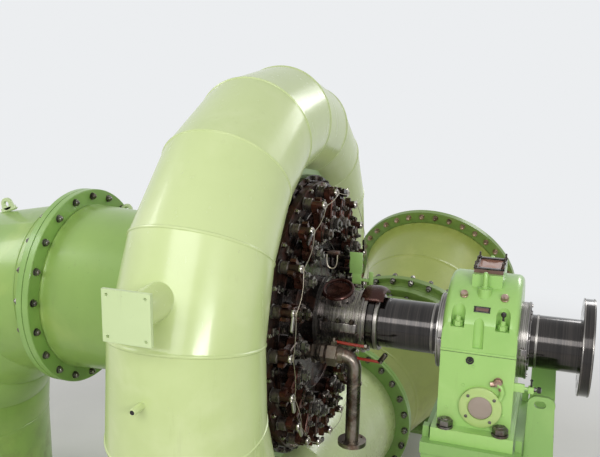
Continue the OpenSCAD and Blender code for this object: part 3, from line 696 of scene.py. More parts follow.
bend_plates = skin(np.concatenate([bend_rows(0.0, 0.005), bend_rows(0.016, 0.0)[::-1]]), ring=True)
inlet_cone = put(tapered(0.0, CONE, 0.56, 0.70, 0.016, (0.015, 0.45, 0.87)),
                 INLET - INLET_WAY * (CONE + FLANGE), INLET_WAY)
low_joint = put(turned(flange_pair(0.64, 0.514), 120, ring=True), (0, MOUTH_Y, MOUTH_Z), (0, 1, 0))
# Three rings of the joint that is taken apart, one behind the other
three_rings = [(0.544, 0), (0.671, 0), (0.675, 0.004), (0.675, 0.041), (0.671, 0.045), (0.626, 0.045),
               (0.62, 0.051), (0.62, 0.094), (0.626, 0.1), (0.696, 0.1), (0.70, 0.104), (0.70, 0.146),
               (0.696, 0.1475), (0.696, 0.1525), (0.70, 0.154), (0.70, 0.2), (0.741, 0.2),
               (0.745, 0.204), (0.745, 0.241), (0.741, 0.245), (0.544, 0.245)]
high_joint = put(turned(three_rings, 120, ring=True), BEND_FACE, INLET_WAY)
piece("inlet_bend_plates", bend_plates, inlet_green, replaces=["inlet_bend"], sharp=40)
piece("inlet_cone_plates", inlet_cone, inlet_green, replaces=["inlet_cone"])
piece("inlet_joint_low_flanges", low_joint, flange_green, replaces=["inlet_joint_lower"])
piece("inlet_joint_high_flanges", high_joint, mouth_green,
      replaces=["inlet_joint_upper"])


def bolt_row(shape, centre, way, radius, count, first):
    """Bolts on a circle about an axis, standing along it."""
    return copies(shape, *circle_places(centre, way, radius, count, first))


# Bolts of every pipe joint, on both faces of each pair
pipe_bolt = bolt(0.040, 0.028, 0.5)
draft_near, near_frames = around_shaft(-1.39, 0.618, 67.5 + 18 * np.arange(20))
draft_far, far_frames = around_shaft(DRAFT_X, 0.618, 67.5 + 18 * np.arange(20))
joint_bolts = joined(
    copies(dome_nut(0.038, 0.034), draft_near, near_frames),
    copies(pipe_bolt, draft_far, turned_back(far_frames)),
    bolt_row(pipe_bolt, (0, MOUTH_Y, MOUTH_Z), (0, -1, 0), 0.605, 28, 0.187),
    bolt_row(pipe_bolt, (0, BEND_Y, MOUTH_Z), (0, 1, 0), 0.605, 28, -0.187),
    bolt_row(pipe_bolt, BEND_FACE, -INLET_WAY, 0.6475, 28, 0.11),
    bolt_row(pipe_bolt, BEND_FACE + INLET_WAY * 0.045, INLET_WAY, 0.6475, 28, -0.11),
    bolt_row(pipe_bolt, BEND_FACE + INLET_WAY * 0.2, -INLET_WAY, 0.7225, 28, 0.11),
    bolt_row(pipe_bolt, BEND_FACE + INLET_WAY * JOINT, INLET_WAY, 0.7225, 28, -0.11))
piece("pipe_joint_bolts", joint_bolts, nut_grey)
mouth_bolt = joined(bolt(0.038, 0.026, 0.5), turned([(0.0145, -0.0445), (0.0145, 0.0)], 12))
places, frames = circle_places(INLET - INLET_WAY * FLANGE, -INLET_WAY, 0.767, 36, TAU / 72)
piece("inlet_mouth_bolts", copies(mouth_bolt, places, frames), copper_steel)

# Guide vane gear: 20 stations, the places of the ring and the levers along the shaft, and the
# radii of the circles of the ring's pins and of the levers' hubs
STATIONS = np.arange(20) * 18.0
RING_X, LEVER_X = 0.198, 0.283
PIN_CIRCLE, HUB_CIRCLE = 0.768, 0.58


def at_station(shape, degrees, radius, x):
    """Copies of a shape at angles about the shaft; its X is along the spoke, its Y
    along the turn and its Z along the shaft."""
    places, frames = around_shaft(x, radius, degrees)
    return copies(shape, places, frames)


def short_link(length, width, thick):
    """Flat bar with round ends: two half circles joined by straight sides, carried up Z
    with its rims drawn in."""
    a = np.linspace(-math.pi / 2, math.pi / 2, 10)
    right = np.stack([np.cos(a) * width / 2 + length / 2, np.sin(a) * width / 2], -1)
    rim = np.concatenate([right, -right])
    rows = []
    for z, draw in ((0, 0.003), (0.003, 0), (thick - 0.003, 0), (thick, 0.003)):
        inner = rim - np.sign(rim) * np.minimum(draw, np.abs(rim))
        rows.append(np.column_stack([inner, np.full(len(rim), z)]))
    return skin(np.array(rows))


def forged_arm(reach, wide, narrow, thick):
    """Forged arm along X: its width falls from wide to narrow as the square of the way
    along, its rims are rounded, and a shallow web lies between raised edges."""
    t = np.linspace(0, 1, 9)
    upper = np.stack([t * reach, wide / 2 + (narrow - wide) / 2 * t ** 2], -1)
    rim = np.concatenate([upper, (upper * (1, -1))[::-1]])
    rows = []
    for z, draw in ((0, 0.004), (0.003, 0.001), (0.006, 0), (thick - 0.006, 0), (thick - 0.003, 0.001),
                    (thick, 0.004), (thick, 0.011), (thick - 0.005, 0.014)):
        inner = rim.copy()
        inner[:, 1] -= np.sign(rim[:, 1]) * draw
        inner[:, 0] += np.where(rim[:, 0] < reach / 2, draw * 0.5, -draw * 0.5)
        rows.append(np.column_stack([inner, np.full(len(rim), z)]))
    return skin(np.array(rows))


def ring_piece(name, shape, finish):
    """A steel piece that rides on the regulating ring."""
    piece(name, shape, finish, "regulating_ring")


# Ring: collar nut, sleeve and pin end at each station, short links, slide pads and rim bolts
sleeve = turned([(0.030, 0.014), (0.034, 0.0145), (0.036, 0.017), (0.036, 0.034), (0.0345, 0.035),
                 (0.0345, 0.0365), (0.036, 0.0375), (0.036, 0.054), (0.034, 0.0565), (0.0295, 0.057),
                 (0.0295, 0.060)], 32)
pin_end = turned([(0.024, 0), (0.024, 0.010), (0.022, 0.014), (0.012, 0.015), (0.011, 0.012),
                  (0.004, 0.011)], 20)
split_pin = put(rod([(-0.03, 0, 0), (-0.012, 0, 0), (0.012, 0, 0), (0.03, 0, 0.002), (0.036, 0, 0.007)],
                    0.0028, 6), (0, 0, 0.006))
RING_FACE = RING_X + 0.038
ring_piece("ring_collars", at_station(nut(0.078, 0.014), STATIONS, PIN_CIRCLE, RING_FACE), nut_grey)
ring_piece("ring_sleeves", at_station(sleeve, STATIONS, PIN_CIRCLE, RING_FACE), sleeve_steel)
ring_piece("ring_pin_ends", at_station(joined(pin_end, split_pin), STATIONS, PIN_CIRCLE, 0.3535), pin_steel)
# The short links hang in front of the forks, from each pin end, along the ring.
hung_link = put(short_link(0.086, 0.032, 0.013), (0, 0.043, 0), (0, 0, 1), (1, 0, 0))
# The three links on the near side are pale bright steel as painted glint; the others are dark oiled steel.
for name, finish, chosen in (("ring_links_painted_glint", link_painted_glint, [9, 11, 12]),
                             ("ring_dark_links", gear_black, [1, 4, 7, 14, 17])):
    ring_piece(name, at_station(hung_link, STATIONS[chosen], PIN_CIRCLE, 0.3545), finish)
slide_pad = joined(block((-0.02, -0.022, 0), (0.02, 0.022, 0.015), 0.003),
                   put(bolt(0.022, 0.014, 0.3), (0, 0, 0.015)))
ring_piece("ring_slide_pads", at_station(slide_pad, STATIONS + 8.8, 0.724, RING_X + 0.0385), nut_grey)
ring_piece("ring_rim_bolts", at_station(bolt(0.024, 0.016, 0.4), STATIONS + 9.6, 0.8, RING_FACE), pin_steel)


def wire_between(a, b, sag, slack):
    """Thin wire from one point to another that hangs outwards: the straight line plus
    sag down and slack along the shaft, both times sin(pi t)."""
    t = np.linspace(0, 1, 13)[:, None]
    drop = np.sin(math.pi * t)
    return a * (1 - t) + b * t + drop * np.array([slack, 0, -sag])


pin_points, _ = around_shaft(0.374, PIN_CIRCLE, STATIONS)
loop = np.arange(12) * TAU / 12
round_pin = 0.012 * np.stack([np.zeros(12), np.cos(loop), np.sin(loop)], -1)
wires = [rod(point + round_pin, 0.0018, 6, ring=True) for point in pin_points]
wires += [rod(wire_between(pin_points[k], pin_points[(k + 1) % 20], 0.010 + 0.006 * math.sin(2.4 * k),
                           0.010 + 0.006 * math.cos(1.7 * k)), 0.0018, 6)
          for k in range(20) if k not in (3, 14)]
ring_piece("pin_lock_wire", joined(*wires), wire_white)

# Levers: hub cap, clamp block with two bolts, forged arm and its nut, one set for each lever
hub_cap = joined(put(turned([(0.05, 0), (0.052, 0.003), (0.052, 0.010), (0.046, 0.014), (0.034, 0.0145)],
                            28), (0, 0, 0.056)),
                 put(bolt(0.062, 0.028, 0.5), (0, 0, 0.0705)))
clamp = joined(block((-0.062, -0.03, 0.02), (-0.038, 0.03, 0.058), 0.004),
               put(bolt(0.022, 0.015, 0.5), (-0.05, 0.03, 0.039), (0, 1, 0)),
               put(bolt(0.022, 0.015, 0.5), (-0.05, -0.03, 0.039), (0, -1, 0)))
arm = put(forged_arm(0.108, 0.082, 0.06, 0.014), (0.04, 0, 0.0485))
arm_nut = put(joined(nut(0.03, 0.022),
                     put(turned([(0.0095, 0), (0.0095, 0.012), (0.007, 0.014)], 10), (0, 0, 0.022))),
              (0.092, 0, 0.0625))
hub = joined(hub_cap, clamp, arm_nut)
for k in range(20):
    lever = "lever_%02d" % (k + 1)
    piece("lever_hub_%02d" % (k + 1), at_station(hub, STATIONS[k], HUB_CIRCLE, LEVER_X),
          nut_grey if k % 3 else bolt_dark, lever)
    piece("lever_arm_%02d" % (k + 1), at_station(arm, STATIONS[k], HUB_CIRCLE, LEVER_X),
          lever_red if k % 4 != 2 else ring_brown, lever)

# Covers: the guide ring's face, four circles of bolts and two raised rims in front, and the
# bolts behind
COVER_FACE = 0.252
cover_bolts = [at_station(bolt(0.024, 0.016, 0.3), 4.5 + 9.0 * np.arange(2, 40), 0.841, 0.19),
               at_station(bolt(0.03, 0.02, 0.4), STATIONS + 9.0, 0.655, COVER_FACE),
               at_station(bolt(0.022, 0.014, 0.3), 15 + 30.0 * np.arange(12), 0.222, 0.33),
               at_station(bolt(0.026, 0.018, 0.4), 22.5 + 45 * np.arange(8), 0.40, COVER_FACE)]
piece("cover_bolts", joined(*cover_bolts), bolt_dark)
cover_rims = [[(0.455, 0.251), (0.47, 0.251), (0.47, 0.264), (0.466, 0.268), (0.459, 0.268), (0.455, 0.264)],
              [(0.676, 0.251), (0.69, 0.251), (0.69, 0.259), (0.687, 0.262), (0.679, 0.262), (0.676, 0.259)]]
piece("cover_rims", joined(*[put(turned(rim, 96, ring=True), (0, 0, AXIS), (1, 0, 0)) for rim in cover_rims]),
      gear_black)
rear_places, rear_frames = around_shaft(-0.19, 0.82, np.arange(40) * 9.0)
piece("draft_cover_bolts", copies(bolt(0.03, 0.02, 0.4), rear_places, turned_back(rear_frames)), bolt_dark)

# Shaft seal: hatch, rings, split with its bolts, cable loop and red rods
hatch_way = np.array([0, -math.sin(math.radians(25)), math.cos(math.radians(25))])
hatch = put(joined(turned([(0.078, 0), (0.094, 0), (0.098, 0.004), (0.098, 0.013), (0.094, 0.018),
                           (0.086, 0.02), (0.078, 0.016)], 64, ring=True),
                   turned([(0.077, -0.010), (0.077, -0.002), (0.070, 0.004), (0.05, 0), (0.028, -0.003)],
                          56)),
            np.array([0.416, 0, AXIS]) + 0.212 * hatch_way, hatch_way)
outer_ring = turned([(0.180, 0), (0.196, 0), (0.199, 0.003), (0.199, 0.014), (0.196, 0.017),
                     (0.180, 0.017)], 96, ring=True)
inner_ring = turned([(0.152, 0), (0.170, 0), (0.172, 0.003), (0.172, 0.022), (0.168, 0.026),
                     (0.152, 0.026)], 96, ring=True)
split_lips = [block((0.335, s * 0.19 - 0.016, AXIS - 0.03), (0.56, s * 0.19 + 0.016, AXIS + 0.03), 0.006)
              for s in (-1, 1)]
split_bolts = spread(bolt(0.026, 0.018, 0.4), [(x, s * 0.198, AXIS + 0.029) for s in (-1, 1)
                                               for x in (0.37, 0.45, 0.53)])
piece("seal_hatch", hatch, hatch_rust)
piece("seal_rings", joined(put(outer_ring, (0.566, 0, AXIS), (1, 0, 0)),
                           put(inner_ring, (0.647, 0, AXIS), (1, 0, 0)), *split_lips),
      seal_turned)
piece("seal_split_bolts", split_bolts, bolt_dark)
loop_knots = [(0.402, -0.30, 0.476), (0.403, -0.302, 0.425), (0.412, -0.303, 0.395),
              (0.433, -0.304, 0.385), (0.454, -0.303, 0.395), (0.463, -0.302, 0.425), (0.464, -0.30, 0.476)]
cable_loop = rod(smooth_path(np.array(loop_knots) + (0, 0, AXIS)), 0.004, 8)
loop_clamps = joined(*[block((0.253, -0.318, AXIS + 0.468), (x + 0.012, -0.282, AXIS + 0.486), 0.004)
                       for x in (0.402, 0.464)])
piece("seal_cable_loop", cable_loop, wire_white)
piece("seal_loop_clamps", loop_clamps, ring_brown)
red_rods = joined(rod([(0.452, -0.246, AXIS - 0.072), (0.54, -0.25, AXIS - 0.075),
                       (0.629, -0.25, AXIS - 0.077)], 0.009, 10),
                  rod([(0.545, -0.235, AXIS - 0.150), (0.60, -0.262, AXIS - 0.150),
                       (0.735, -0.27, AXIS - 0.151)], 0.009, 10))
front_nut = joined(nut(0.028, 0.018), turned([(0.010, 0.018), (0.011, 0.026), (0.008, 0.03)], 14))
long_end = joined(nut(0.03, 0.02),
                  turned([(0.011, 0.020), (0.015, 0.028), (0.015, 0.06), (0.010, 0.066)], 14))
rod_ends = joined(put(nut(0.03, 0.02), (0.436, -0.246, AXIS - 0.072), (1, 0, 0)),
                  block((0.43, -0.262, AXIS - 0.082), (0.452, -0.19, AXIS - 0.062), 0.003),
                  put(front_nut, (0.627, -0.25, AXIS - 0.077), (1, 0, 0)),
                  block((0.53, -0.245, AXIS - 0.162), (0.552, -0.14, AXIS - 0.138), 0.003),
                  put(long_end, (0.725, -0.27, AXIS - 0.151), (0.55, 0, 0.83)))
piece("seal_red_rods", red_rods, rod_red)
piece("seal_rod_ends", rod_ends, bolt_dark)


def union(radius, width):
    """Pipe union: two hexagon nuts with a round collar between them."""
    collar = [(radius * 1.04, 0), (radius * 1.18, 0.003), (radius * 1.18, width * 0.2),
              (radius * 1.04, width * 0.22)]
    return joined(nut(radius * 2.5, width * 0.42),
                  put(turned(collar, 28), (0, 0, width * 0.41)),
                  put(nut(radius * 2.4, width * 0.4), (0, 0, width * 0.62)))


# Drain pipe: the middle line of its upper run, which goes along the shaft and then turns down
PIPE_Y, PIPE_Z = -0.262, AXIS - 0.145
turn = np.linspace(0, math.pi / 2, 9)
pipe_path = np.concatenate([[(0.27, 0), (0.4, 0)],
                            np.stack([0.5 + 0.075 * np.sin(turn), -0.075 + 0.075 * np.cos(turn)], -1),
                            [(0.575, -0.2), (0.575, -0.5), (0.575, -0.545)]])
pipe_run = rod(np.stack([pipe_path[:, 0], np.full(len(pipe_path), PIPE_Y), PIPE_Z + pipe_path[:, 1]], -1),
               0.042, 32)
wide_nut = joined(nut(0.124, 0.07), turned([(0.05, 0), (0.05, 0.1)], 28))
weld_collar = turned([(0.042, 0), (0.047, 0.002), (0.048, 0.008), (0.047, 0.014), (0.042, 0.016)], 32,
                     ring=True)
wall_collar = turned([(0.03, 0), (0.056, 0), (0.057, 0.003), (0.057, 0.027), (0.054, 0.03), (0.03, 0.03)],
                     32, ring=True)
vent_nut = joined(nut(0.036, 0.024), put(turned([(0.011, 0), (0.011, 0.016), (0.007, 0.019)], 12),
                                         (0, 0, 0.024)))
unions = joined(put(union(0.046, 0.085), (0.318, PIPE_Y, PIPE_Z), (1, 0, 0)),
                put(wide_nut, (0.41, PIPE_Y, PIPE_Z), (1, 0, 0)),
                put(weld_collar, (0.575, PIPE_Y, PIPE_Z - 0.17)),
                put(wall_collar, (0.252, PIPE_Y, PIPE_Z), (1, 0, 0)),
                put(vent_nut, (0.445, PIPE_Y, PIPE_Z + 0.058)),
                *[put(bolt(0.02, 0.014, 0.4), (0.47, PIPE_Y + s * 0.045, PIPE_Z), (0, s, 0))
                  for s in (-1, 1)])
piece("seal_drain_pipe", pipe_run, pipe_grey)
piece("seal_pipe_unions", unions, pipe_fitting)
guard = joined(block((0.375, 0.294, AXIS + 0.20), (0.461, 0.306, AXIS + 0.34), 0.003),
               block((0.395, 0.2945, AXIS + 0.13), (0.455, 0.3055, AXIS + 0.205), 0.003),
               block((0.505, 0.296, AXIS + 0.134), (0.535, 0.304, AXIS + 0.22), 0.003),
               block((0.44, 0.298, AXIS + 0.15), (0.512, 0.304, AXIS + 0.17), 0.003))
guard_arms = joined(*[block((0.253, 0.288, AXIS + z), (0.38, 0.294, AXIS + z + 0.022), 0.002)
                      for z in (0.215, 0.29)],
                    block((0.252, 0.276, AXIS + 0.19), (0.262, 0.306, AXIS + 0.33), 0.002))
piece("seal_guard_plate", guard, bearing_green)
piece("seal_guard_arms", guard_arms, gear_black)
# The hood arches over the shaft from 124 to 56 degrees. Each row lies at the profile's radius
# plus its lift times the sine of the way over, to the power 0.6.
over = np.linspace(0, math.pi, 25)[:, None]
hood_x, hood_radius, hood_lift = np.array([
    (0.562, 0.187, 0), (0.60, 0.180, 0), (0.66, 0.179, 0), (0.69, 0.186, 0), (0.695, 0.190, 0.006),
    (0.682, 0.192, 0.020), (0.655, 0.194, 0.026), (0.60, 0.194, 0.026), (0.566, 0.193, 0.018),
    (0.558, 0.191, 0.006)]).T
reach = hood_radius + hood_lift * np.sin(over) ** 0.6
lean = np.radians(124 - 68 * over / math.pi)
hood = skin(np.stack([np.tile(hood_x, (25, 1)), reach * np.cos(lean), AXIS + reach * np.sin(lean)], -1))
piece("seal_hood", hood, hatch_rust)

# Shaft: a thin ring at each end of the bearing's place, and two rims on the coupling
shaft_band = turned([(0.1495, -0.001), (0.1512, 0), (0.1512, 0.012), (0.1495, 0.013)], 128, ring=True)
coupling_rim = turned([(0.268, 0), (0.272, 0.001), (0.2725, 0.004), (0.272, 0.007), (0.268, 0.008)], 128,
                      ring=True)
shaft_bands = spread(shaft_band, [(0.985, 0, AXIS), (1.56, 0, AXIS)], (1, 0, 0))
coupling_rims = spread(coupling_rim, [(1.80, 0, AXIS), (1.85, 0, AXIS)], (1, 0, 0))
piece("shaft_bands", shaft_bands, end_grey, "shaft")
piece("coupling_rims", coupling_rims, end_grey, "shaft")

# Pedestal bearing: its middle along the shaft, its near face, the middle of its round cover,
# and the way that the near face looks
MID, FRONT = 1.275, -0.33
COVER = (1.308, FRONT - 0.016, AXIS - 0.298)
FRONTWARD = (0, -1, 0)


def cap_head(across, height):
    """Hexagon head with a round face above it, over a thick washer: three profiles carried round."""
    washer = turned([(across * 0.62, 0), (across * 0.62, height * 0.2), (across * 0.58, height * 0.26)], 24)
    face = turned([(across * 0.42, 0), (across * 0.4, height * 0.08), (across * 0.2, height * 0.1)], 20)
    return joined(washer, put(nut(across, height * 0.7), (0, 0, height * 0.22)),
                  put(face, (0, 0, height * 0.9)))


def both_sides(make):
    """The same shape on the near and the far side of the bearing."""
    return joined(*[make(s) for s in (-1, 1)])


cap_bolts = both_sides(lambda s: spread(cap_head(0.036, 0.026), [(x, s * 0.224, AXIS + 0.2915)
                                                                 for x in (1.172, 1.388)],
                                        (0, s * 0.5, 0.87)))
pocket_nut, pocket_end = nut(0.046, 0.03), turned([(0.015, 0), (0.015, 0.022), (0.012, 0.025)], 16)
pocket_stud = joined(pocket_nut, put(pocket_end, (0, 0, 0.03)))
pocket_studs = both_sides(lambda s: spread(pocket_stud, [(x, s * 0.302, AXIS + 0.14)
                                                         for x in (MID - 0.118, MID + 0.118)]))
eye_rod = turned([(0.02, 0), (0.02, 0.008), (0.0135, 0.012), (0.0135, 0.082), (0.010, 0.088),
                  (0.004, 0.0905)], 20)
eye_rods = both_sides(lambda s: put(eye_rod, (1.278, s * 0.2, AXIS + 0.335)))
joint_lips = both_sides(lambda s: block((1.074, s * 0.331 - 0.003, AXIS - 0.002),
                                        (1.476, s * 0.331 + 0.003, AXIS + 0.012), 0.0025))
joint_line = both_sides(lambda s: block((1.075, s * 0.3305 - 0.0008, AXIS - 0.0045),
                                        (1.475, s * 0.3305 + 0.0008, AXIS - 0.002), 0.0004))
cover_rim = put(turned([(0.066, 0), (0.112, 0), (0.1145, 0.003), (0.1145, 0.006), (0.111, 0.008),
                        (0.072, 0.008), (0.069, 0.011), (0.066, 0.011)], 72, ring=True), COVER, FRONTWARD)
side_pipe = rod(smooth_path([(1.392, FRONT - 0.018, AXIS - 0.148), (1.412, FRONT - 0.02, AXIS - 0.17),
                             (1.418, FRONT - 0.018, AXIS - 0.20), (1.408, FRONT - 0.012, AXIS - 0.24)]),
                0.013, 14)
valve_block = joined(block((1.548, FRONT - 0.016, AXIS - 0.178), (1.578, FRONT + 0.02, AXIS - 0.142), 0.004),
                     put(turned([(0.009, 0), (0.009, 0.07)], 14), (1.525, FRONT + 0.01, AXIS - 0.16),
                         (1, 0, 0)),
                     block((1.474, FRONT + 0.002, AXIS - 0.185), (1.53, FRONT + 0.016, AXIS - 0.137), 0.003))
green_fittings = joined(pocket_studs, eye_rods, joint_lips, side_pipe, valve_block)
piece("bearing_green_fittings", green_fittings, bearing_green)
piece("bearing_cover_rim", cover_rim, cover_green)
piece("bearing_cap_bolts", cap_bolts, copper_steel)

cover_disc = put(joined(turned([(0.064, 0), (0.064, 0.006), (0.061, 0.0075), (0.03, 0.008)], 48),
                        turned([(0.05, 0.0078), (0.052, 0.0085), (0.054, 0.0078)], 48, ring=True)),
                 COVER, FRONTWARD)
piece("bearing_cover_disc", cover_disc, disc_grey)
cover_screw = turned([(0.009, 0), (0.009, 0.005), (0.007, 0.0065), (0.0035, 0.0065), (0.0035, 0.003)], 18)
screw_places = [(COVER[0] + 0.092 * math.cos(a), FRONT - 0.024, COVER[2] + 0.092 * math.sin(a))
                for a in np.radians([38, 137, 218, 308])]
cover_screws = spread(cover_screw, screw_places, FRONTWARD)
side_plugs = spread(turned([(0.009, 0), (0.0085, 0.003), (0.004, 0.004)], 16),
                    [(1.209, FRONT, AXIS - 0.188), (1.125, FRONT, AXIS - 0.33),
                     (1.43, FRONT, AXIS - 0.33), (1.258, FRONT, AXIS - 0.075)], FRONTWARD)
socket_plug = joined(turned([(0.013, 0), (0.022, 0), (0.0225, 0.002), (0.021, 0.007), (0.015, 0.008),
                             (0.013, 0.006)], 32, ring=True),
                     turned([(0.012, 0), (0.012, 0.003), (0.006, 0.0032)], 6))
pocket_knob = turned([(0.006, 0), (0.006, 0.020), (0.013, 0.027), (0.0155, 0.036), (0.013, 0.045),
                      (0.006, 0.050)], 20)
plugs = joined(put(socket_plug, (1.236, FRONT, AXIS - 0.041), FRONTWARD),
               put(pocket_knob, (MID + 0.118, -0.302, AXIS + 0.193)))
oil_fitting = joined(put(cap_head(0.04, 0.03), (1.392, FRONT, AXIS - 0.142), FRONTWARD),
                     put(nut(0.026, 0.024), (1.376, FRONT - 0.014, AXIS - 0.152), (-1, 0, -0.2)),
                     put(nut(0.024, 0.02), (1.405, FRONT - 0.02, AXIS - 0.162), (0.4, 0, -1)))
valve_handle = joined(put(turned([(0.004, 0), (0.016, 0.002), (0.018, 0.012), (0.016, 0.022),
                                  (0.004, 0.024)], 10), (1.592, FRONT + 0.01, AXIS - 0.16), (1, 0, 0)),
                      put(nut(0.02, 0.014), (1.578, FRONT + 0.01, AXIS - 0.16), (1, 0, 0)),
                      put(turned([(0.005, 0), (0.005, 0.03), (0.009, 0.036), (0.004, 0.042)], 12),
                          (1.563, FRONT, AXIS - 0.142)))
piece("bearing_plugs", plugs, seal_black)
piece("bearing_oil_fitting", oil_fitting, copper_steel)
piece("bearing_cover_screws", cover_screws, nut_grey)
piece("bearing_side_plugs", side_plugs, bearing_green)
piece("bearing_valve_handle", valve_handle, seal_black)

# Blank plate on the cap: its place, its way out and its side, and the window on top
plate_place = ((1.278, -0.2835, AXIS + 0.2365), (0, -0.2835, 0.2365), FRONTWARD)
plate_frame = joined(*[block((-0.043, s * 0.013 - 0.004, -0.002), (0.043, s * 0.013 + 0.004, 0.005), 0.0015)
                       for s in (-1, 1)],
                     *[block((s * 0.0385 - 0.0045, -0.017, -0.002), (s * 0.0385 + 0.0045, 0.017, 0.005),
                             0.0015) for s in (-1, 1)])
blank_plate = block((-0.038, -0.012, -0.002), (0.038, 0.012, 0.0025), 0.001)
piece("bearing_plate_frame", put(plate_frame, *plate_place), seal_black)
piece("bearing_blank_plate", put(blank_plate, *plate_place), window_brown)

rim_low, rim_high = AXIS + 0.421, AXIS + 0.432
window_rim = joined(block((1.203, -0.134, rim_low), (1.222, 0.134, rim_high), 0.003),
                    block((1.350, -0.134, rim_low), (1.369, 0.134, rim_high), 0.003),
                    block((1.203, -0.134, rim_low), (1.369, -0.115, rim_high), 0.003),
                    block((1.203, 0.115, rim_low), (1.369, 0.134, rim_high), 0.003))
window_stud = joined(nut(0.017, 0.010), turned([(0.0055, 0), (0.0055, 0.03), (0.004, 0.032)], 10))
window_studs = spread(window_stud, [(x, y, rim_high) for x in (1.2125, 1.3595) for y in (-0.12, 0, 0.12)])
window_pane = block((1.224, -0.112, AXIS + 0.4165), (1.348, 0.112, AXIS + 0.4215), 0.002)
piece("bearing_window_rim", window_rim, seal_black)
piece("bearing_window_studs", window_studs, bolt_dark)
piece("bearing_window_pane", window_pane, pane_pink)
piece("bearing_joint_line", joint_line, seal_black)

# End rings: bright bands round the shaft on both faces, their nuts, and the lips at the joint
end_band = turned([(0.157, 0), (0.19, 0), (0.19, 0.002), (0.205, 0.002), (0.21, 0), (0.217, 0),
                   (0.219, 0.002), (0.219, 0.010), (0.217, 0.012), (0.157, 0.012)], 128, ring=True)
inner_band = turned([(0.1545, 0), (0.168, 0), (0.170, 0.002), (0.170, 0.008), (0.168, 0.010),
                     (0.1545, 0.010)], 128, ring=True)
end_parts = []
for x, way in ((1.075, -1), (1.475, 1)):
    places, frames = around_shaft(x + way * 0.05, 0.198, np.arange(8) * 45 + 22.5)
    end_parts += [put(end_band, (x + way * 0.05, 0, AXIS), (-way, 0, 0)),
                  put(inner_band, (x + way * 0.0495, 0, AXIS), (way, 0, 0)),
                  copies(nut(0.016, 0.008), places, frames if way > 0 else turned_back(frames))]
    low, high = sorted((x + way * 0.006, x + way * 0.042))
    for s in (-1, 1):
        end_parts += [block((low, s * 0.2165 - 0.009, AXIS - 0.02), (high, s * 0.2165 + 0.009, AXIS + 0.02),
                            0.003),
                      put(nut(0.014, 0.008), (x + way * 0.024, s * 0.2165, AXIS + 0.02))]
piece("bearing_end_bands", joined(*end_parts), end_bright)

# Nuts on the bearing's feet
foot_nut = joined(turned([(0.046, 0), (0.046, 0.010), (0.043, 0.012)], 28),
                  put(nut(0.074, 0.036), (0, 0, 0.012)),
                  put(turned([(0.024, 0), (0.022, 0.006), (0.008, 0.008)], 20), (0, 0, 0.047)))
foot_nuts = both_sides(lambda s: spread(foot_nut, [(x, s * 0.364, AXIS - 0.432)
                                                   for x in (MID - 0.148, MID + 0.148)]))
piece("bearing_foot_bolts", foot_nuts, nut_grey)

# Floor, light and camera
BACKGROUND = tone(236, 238, 240)


def background_rays(tree):
    """1 for rays that see the background: from the camera, off metal and through glass."""
    path = tree.nodes.new("ShaderNodeLightPath")
    seen = path.outputs["Is Camera Ray"]
    for kind in ("Is Glossy Ray", "Is Transmission Ray"):
        most = tree.nodes.new("ShaderNodeMath")
        most.operation = "MAXIMUM"
        tree.links.new(seen, most.inputs[0])
        tree.links.new(path.outputs[kind], most.inputs[1])
        seen = most.outputs[0]
    return seen


def pale_floor():
    """Square floor of 80 m that keeps the shadow near the machine and fades into the
    background between 3.6 and 8.5 m from the origin."""
    floor = Finish("pale_floor", (226, 224, 220), 0.6)
    floor.layer(floor.step(floor.noise(1.5, 5), 0.35, 0.7, 0.0, 0.5), (220, 218, 214))
    mesh = bpy.data.meshes.new("floor")
    mesh.from_pydata([(-40, -40, 0), (40, -40, 0), (40, 40, 0), (-40, 40, 0)], [], [(0, 1, 2, 3)])
    mesh.materials.append(floor.done())
    far = floor.node("ShaderNodeVectorMath", operation="LENGTH")
    floor.link(floor.place, far.inputs[0])
    light = floor.node("ShaderNodeEmission")
    light.inputs["Color"].default_value = BACKGROUND
    fade = floor.node("ShaderNodeMixShader")
    floor.link(floor.times(background_rays(floor.tree), floor.step(far.outputs["Value"], 3.6, 8.5)),
               fade.inputs[0])
    floor.link(floor.shader.outputs[0], fade.inputs[1])
    floor.link(light.outputs[0], fade.inputs[2])
    floor.link(fade.outputs[0], floor.tree.nodes["Material Output"].inputs[0])
    ground = bpy.data.objects.new("floor", mesh)
    bpy.context.scene.collection.objects.link(ground)


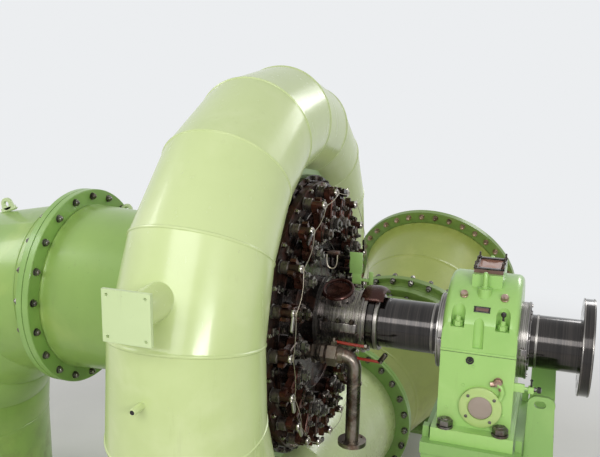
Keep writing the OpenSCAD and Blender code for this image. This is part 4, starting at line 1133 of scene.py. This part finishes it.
def pale_world():
    """Even light of strength 0.5 on the machine, and the background at strength 1."""
    world = bpy.data.worlds.new("studio")
    bpy.context.scene.world = world
    world.use_nodes = True
    tree = world.node_tree
    back = tree.nodes["Background"]
    back.inputs["Color"].default_value = BACKGROUND
    strength = tree.nodes.new("ShaderNodeMapRange")
    strength.inputs["To Min"].default_value = 0.5
    strength.inputs["To Max"].default_value = 1.0
    tree.links.new(background_rays(tree), strength.inputs["Value"])
    tree.links.new(strength.outputs["Result"], back.inputs["Strength"])


def lamps():
    """Four soft lamps, each with its place, the point it faces, its width, height and watts."""
    for name, place, aim, width, height, power in (
            ("lamp_front", (0.0, -6.2, 5.4), (0.2, 0, 1.9), 4.4, 2.6, 160),
            ("lamp_right", (3.6, -4.6, 3.6), (0.5, 0, 2.0), 1.8, 0.45, 80),
            ("lamp_left", (-6.5, -2.5, 6.5), (0, 0.5, 1.6), 3.5, 2.6, 150),
            ("lamp_back", (3.5, 6.5, 6.5), (0.5, 1.0, 1.6), 3.5, 2.6, 170)):
        lamp = bpy.data.lights.new(name, "AREA")
        lamp.shape = "RECTANGLE"
        lamp.size, lamp.size_y, lamp.energy = width, height, power
        item = bpy.data.objects.new(name, lamp)
        item.location = place
        way = np.array(aim) - np.array(place)
        item.rotation_euler = (math.atan2(math.hypot(way[0], way[1]), -way[2]), 0,
                               math.atan2(way[1], way[0]) - math.pi / 2)
        bpy.context.scene.collection.objects.link(item)


def photograph_camera():
    """The camera of the photograph: place, turn about Z, tilt down and roll, and a focal
    length of 749.4 pixels on a picture 600 pixels wide."""
    camera = bpy.data.cameras.new("camera")
    camera.sensor_width, camera.lens = 36.0, 36.0 * 749.4 / 600.0
    view = bpy.data.objects.new("camera", camera)
    yaw, pitch, roll = 0.3334, 0.2093, 0.0171
    ahead = np.array([-math.sin(yaw) * math.cos(pitch), math.cos(yaw) * math.cos(pitch), -math.sin(pitch)])
    right = np.array([math.cos(yaw), math.sin(yaw), 0.0])
    top = np.cross(right, ahead)
    pose = np.eye(4)
    pose[:3, 0] = math.cos(roll) * right + math.sin(roll) * top
    pose[:3, 1] = -math.sin(roll) * right + math.cos(roll) * top
    pose[:3, 2] = -ahead
    pose[:3, 3] = (1.6074, -4.255, AXIS + 1.4874)
    view.matrix_world = Matrix(pose.tolist())
    bpy.context.scene.collection.objects.link(view)
    bpy.context.scene.camera = view


pale_floor()
pale_world()
lamps()
photograph_camera()
bpy.context.scene.view_settings.view_transform = "Standard"
